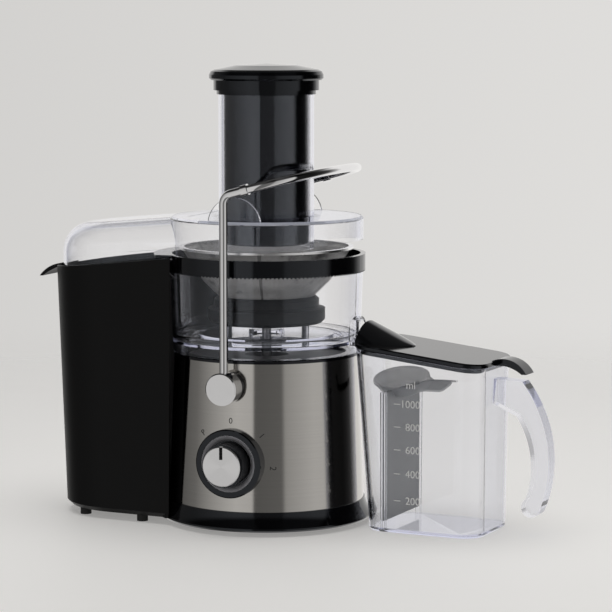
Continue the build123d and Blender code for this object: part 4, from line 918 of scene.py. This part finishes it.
class JUICER_OT_jug_scale(bpy.types.Operator):
    """Print the measuring scale on the jug's front wall"""

    bl_idname = "juicer.jug_scale"
    bl_label = "Jug scale"

    def execute(self, context):
        sizes, colours = context.scene.juicer_sizes, context.scene.juicer_colours
        stand_off, figures_end, ticks_start = 58 * MM, 2.5 * MM, -21.5 * MM
        tick_length, tick_height = 6 * MM, 0.7 * MM
        unit_end, unit_level = -1.5 * MM, 127 * MM
        out = Vector((jug_along.y, -jug_along.x, 0))
        foot = jug_centre + out * stand_off
        figures = []

        def add(made, aside, level):
            place = foot + jug_along * aside + Vector((0, 0, level))
            figures.append(stand_on(made, place, jug_along, out))

        for amount, level in ((200, 28), (400, 51), (600, 71.5), (800, 91), (1000, 110.5)):
            add(figure(str(amount), sizes.scale_height, "RIGHT"), figures_end, level * MM)
            add(tick(tick_length, tick_height), ticks_start, level * MM)
        add(figure("ml", sizes.scale_height, "RIGHT"), unit_end, unit_level)
        scale = print_onto(join(figures, "jug_scale"), "jug_body", sizes)
        dress(scale, printed("scale ink", tuple(colours.scale_ink)), "jug")
        return {"FINISHED"}


# Brightness of the studio by direction, in degrees from the front round to the jug's side,
# and whether the backdrop lies there
panels = (
    (-180, 0.69, 1), (180, 0.69, 1), (-124, 0.69, 1), (-116, 0.14, 0), (-94, 0.14, 0),
    (-72, 0.2, 0), (-45, 0.42, 0), (-15, 0.64, 0), (5, 0.6, 0), (7, 0.13, 0), (40, 0.16, 0),
    (44, 0.4, 0), (80, 0.6, 0), (94, 0.6, 0), (102, 0.012, 0), (126, 0.009, 0), (135, 0.022, 0),
    (143, 0.06, 0), (151, 0.38, 0), (159, 0.69, 1),
)
# Colour of the panels, a little warm
panel_tint = (1.0, 0.985, 0.965)


class JUICER_OT_studio(bpy.types.Operator):
    """Set the floor, the soft light and the camera"""

    bl_idname = "juicer.studio"
    bl_label = "Studio"

    def execute(self, context):
        studio = context.scene.juicer_studio
        self.backdrop(context, studio)
        self.floor(studio)
        self.overhead(context, studio)
        self.camera(context, studio)
        return {"FINISHED"}

    def backdrop(self, context, studio):
        """Panels that light and mirror in the juicer, and the plain backdrop behind it."""
        world = bpy.data.worlds.new("studio")
        context.scene.world = world
        context.scene.view_settings.view_transform = "Standard"
        world.use_nodes = True
        tree = world.node_tree
        way = split_socket(tree, add_node(tree, "ShaderNodeTexCoord").outputs["Generated"])
        path = add_node(tree, "ShaderNodeLightPath")
        straight = math_node(
            tree, "MULTIPLY", path.outputs["Is Transmission Ray"],
            math_node(tree, "LESS_THAN", math_node(
                tree, "ADD", path.outputs["Glossy Depth"], path.outputs["Diffuse Depth"]), 0.5))
        air = self.lit_air(tree, studio, way, path)
        seen = add_node(tree, "ShaderNodeBackground")
        seen.inputs["Color"].default_value = studio.backdrop
        # A little darker towards the bin's side
        side = map_range(tree, way["X"], (-0.47, -0.25), (0.94, 1.06))
        shown = span(tree, straight, 1.0, studio.seen_through)
        tree.links.new(math_node(tree, "MULTIPLY", shown, side), seen.inputs["Strength"])
        mix = add_node(tree, "ShaderNodeMixShader")
        plain = math_node(tree, "MAXIMUM", path.outputs["Is Camera Ray"], straight)
        tree.links.new(plain, mix.inputs["Fac"])
        tree.links.new(air.outputs["Background"], mix.inputs[1])
        tree.links.new(seen.outputs["Background"], mix.inputs[2])
        tree.links.new(mix.outputs["Shader"], tree.nodes["World Output"].inputs["Surface"])

    def lit_air(self, tree, studio, way, path):
        """The panels by direction, bright low down and dim overhead."""
        air = tree.nodes["Background"]
        behind = math_node(tree, "MULTIPLY", way["Y"], -1.0)
        around = math_node(tree, "ARCTAN2", way["X"], behind)
        share = math_node(tree, "ADD", math_node(tree, "DIVIDE", around, FULL_TURN), 0.5)
        ramp = add_node(tree, "ShaderNodeValToRGB")
        tree.links.new(share, ramp.inputs["Fac"])
        stops = ramp.color_ramp.elements
        for order, (turn, level, backdrop) in enumerate(panels):
            place = turn / 360 + 0.5
            stop = stops[order] if order < 2 else stops.new(place)
            stop.position = place
            stop.color = (*(tint * level for tint in panel_tint), backdrop)
        tree.links.new(ramp.outputs["Color"], air.inputs["Color"])
        gain = span(
            tree, path.outputs["Is Transmission Ray"], studio.mirrored, studio.seen_through)
        raised = math_node(
            tree, "MULTIPLY", ramp.outputs["Alpha"], math_node(tree, "SUBTRACT", gain, 1.0))
        low_part = map_range(tree, way["Z"], (0.42, 0.62), (1.0, 0.1), "SMOOTHSTEP")
        level = math_node(tree, "MULTIPLY", math_node(tree, "ADD", raised, 1.0), low_part)
        strength = math_node(tree, "MULTIPLY", level, studio.fill)
        tree.links.new(strength, air.inputs["Strength"])
        return air

    def floor(self, studio):
        """A pale floor that fades into the backdrop."""
        deselect()
        bpy.ops.mesh.primitive_circle_add(vertices=96, radius=3.0, fill_type="NGON")
        floor = bpy.context.object
        floor.name = "studio_floor"
        material, tree, shader = new_material("pale floor")
        shader.inputs["Base Color"].default_value = (0.74, 0.735, 0.725, 1)
        shader.inputs["Roughness"].default_value = 0.6
        shader.inputs["Emission Strength"].default_value = 0.42
        place = add_node(tree, "ShaderNodeTexCoord")
        # Painted shade: the floor's glow is a little darker towards the bin's side
        across = split_socket(tree, place.outputs["Object"])["X"]
        side = map_range(tree, across, (-0.45, 0.45), (0.0, 1.0))
        backdrop = tuple(studio.backdrop)
        mix_between(tree, side, scaled_colour(backdrop, 0.82), scaled_colour(backdrop, 1.06),
                    shader.inputs["Emission Color"])
        length = add_node(tree, "ShaderNodeVectorMath", operation="LENGTH")
        tree.links.new(place.outputs["Object"], length.inputs[0])
        fade = map_range(tree, length.outputs["Value"], (0.35, 1.6), (1.0, 0.0), "SMOOTHERSTEP")
        tree.links.new(fade, shader.inputs["Alpha"])
        floor.data.materials.append(material)
        floor.visible_glossy = False

    def overhead(self, context, studio):
        """A wide soft light above the juicer that mirrors in nothing."""
        height, width = 1.9, 1.8
        light = bpy.data.lights.new("overhead", "AREA")
        light.shape = "RECTANGLE"
        light.size = light.size_y = width
        light.energy = studio.overhead
        light.color = (1.0, 0.99, 0.975)
        lamp = bpy.data.objects.new("overhead", light)
        context.scene.collection.objects.link(lamp)
        lamp.location = (spindle.x, 0, height)
        lamp.visible_camera = False
        lamp.visible_glossy = False
        lamp.visible_transmission = False

    def camera(self, context, studio):
        """The camera, a little round to the jug's side."""
        data = bpy.data.cameras.new("camera")
        data.lens = studio.lens
        data.sensor_width = 36.0
        camera = bpy.data.objects.new("camera", data)
        context.scene.collection.objects.link(camera)
        camera.location = Vector(studio.camera_place) + Vector((spindle.x, 0, 0))
        camera.rotation_euler = (QUARTER_TURN - studio.camera_dip, 0, studio.camera_turn)
        context.scene.camera = camera


class JUICER_PT_panel(bpy.types.Panel):
    """Lists the juicer's steps"""

    bl_idname = "JUICER_PT_panel"
    bl_label = "Juicer"
    bl_space_type = "VIEW_3D"
    bl_region_type = "UI"
    bl_category = "Juicer"

    def draw(self, context):
        for step in steps:
            self.layout.operator(step.bl_idname)


groups = (JuicerSizes, JuicerColours, JuicerStudio)
steps = (
    JUICER_OT_black_mouldings,
    JUICER_OT_metals,
    JUICER_OT_clear_parts,
    JUICER_OT_dial_marks,
    JUICER_OT_knob_pointer,
    JUICER_OT_bezel_dish,
    JUICER_OT_collar_teeth,
    JUICER_OT_lid_edge,
    JUICER_OT_bowl_ribs,
    JUICER_OT_separator,
    JUICER_OT_jug_scale,
    JUICER_OT_studio,
)


def register():
    """Adds the classes and the scene's settings."""
    for made in (*groups, *steps, JUICER_PT_panel):
        bpy.utils.register_class(made)
    bpy.types.Scene.juicer_sizes = PointerProperty(type=JuicerSizes)
    bpy.types.Scene.juicer_colours = PointerProperty(type=JuicerColours)
    bpy.types.Scene.juicer_studio = PointerProperty(type=JuicerStudio)


def unregister():
    """Takes the classes and the scene's settings away."""
    del bpy.types.Scene.juicer_sizes
    del bpy.types.Scene.juicer_colours
    del bpy.types.Scene.juicer_studio
    for made in (JUICER_PT_panel, *steps[::-1], *groups[::-1]):
        bpy.utils.unregister_class(made)


def main():
    """Registers the add-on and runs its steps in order."""
    register()
    for step in steps:
        family, name = step.bl_idname.split(".")
        getattr(getattr(bpy.ops, family), name)()


if __name__ == "__main__":
    main()
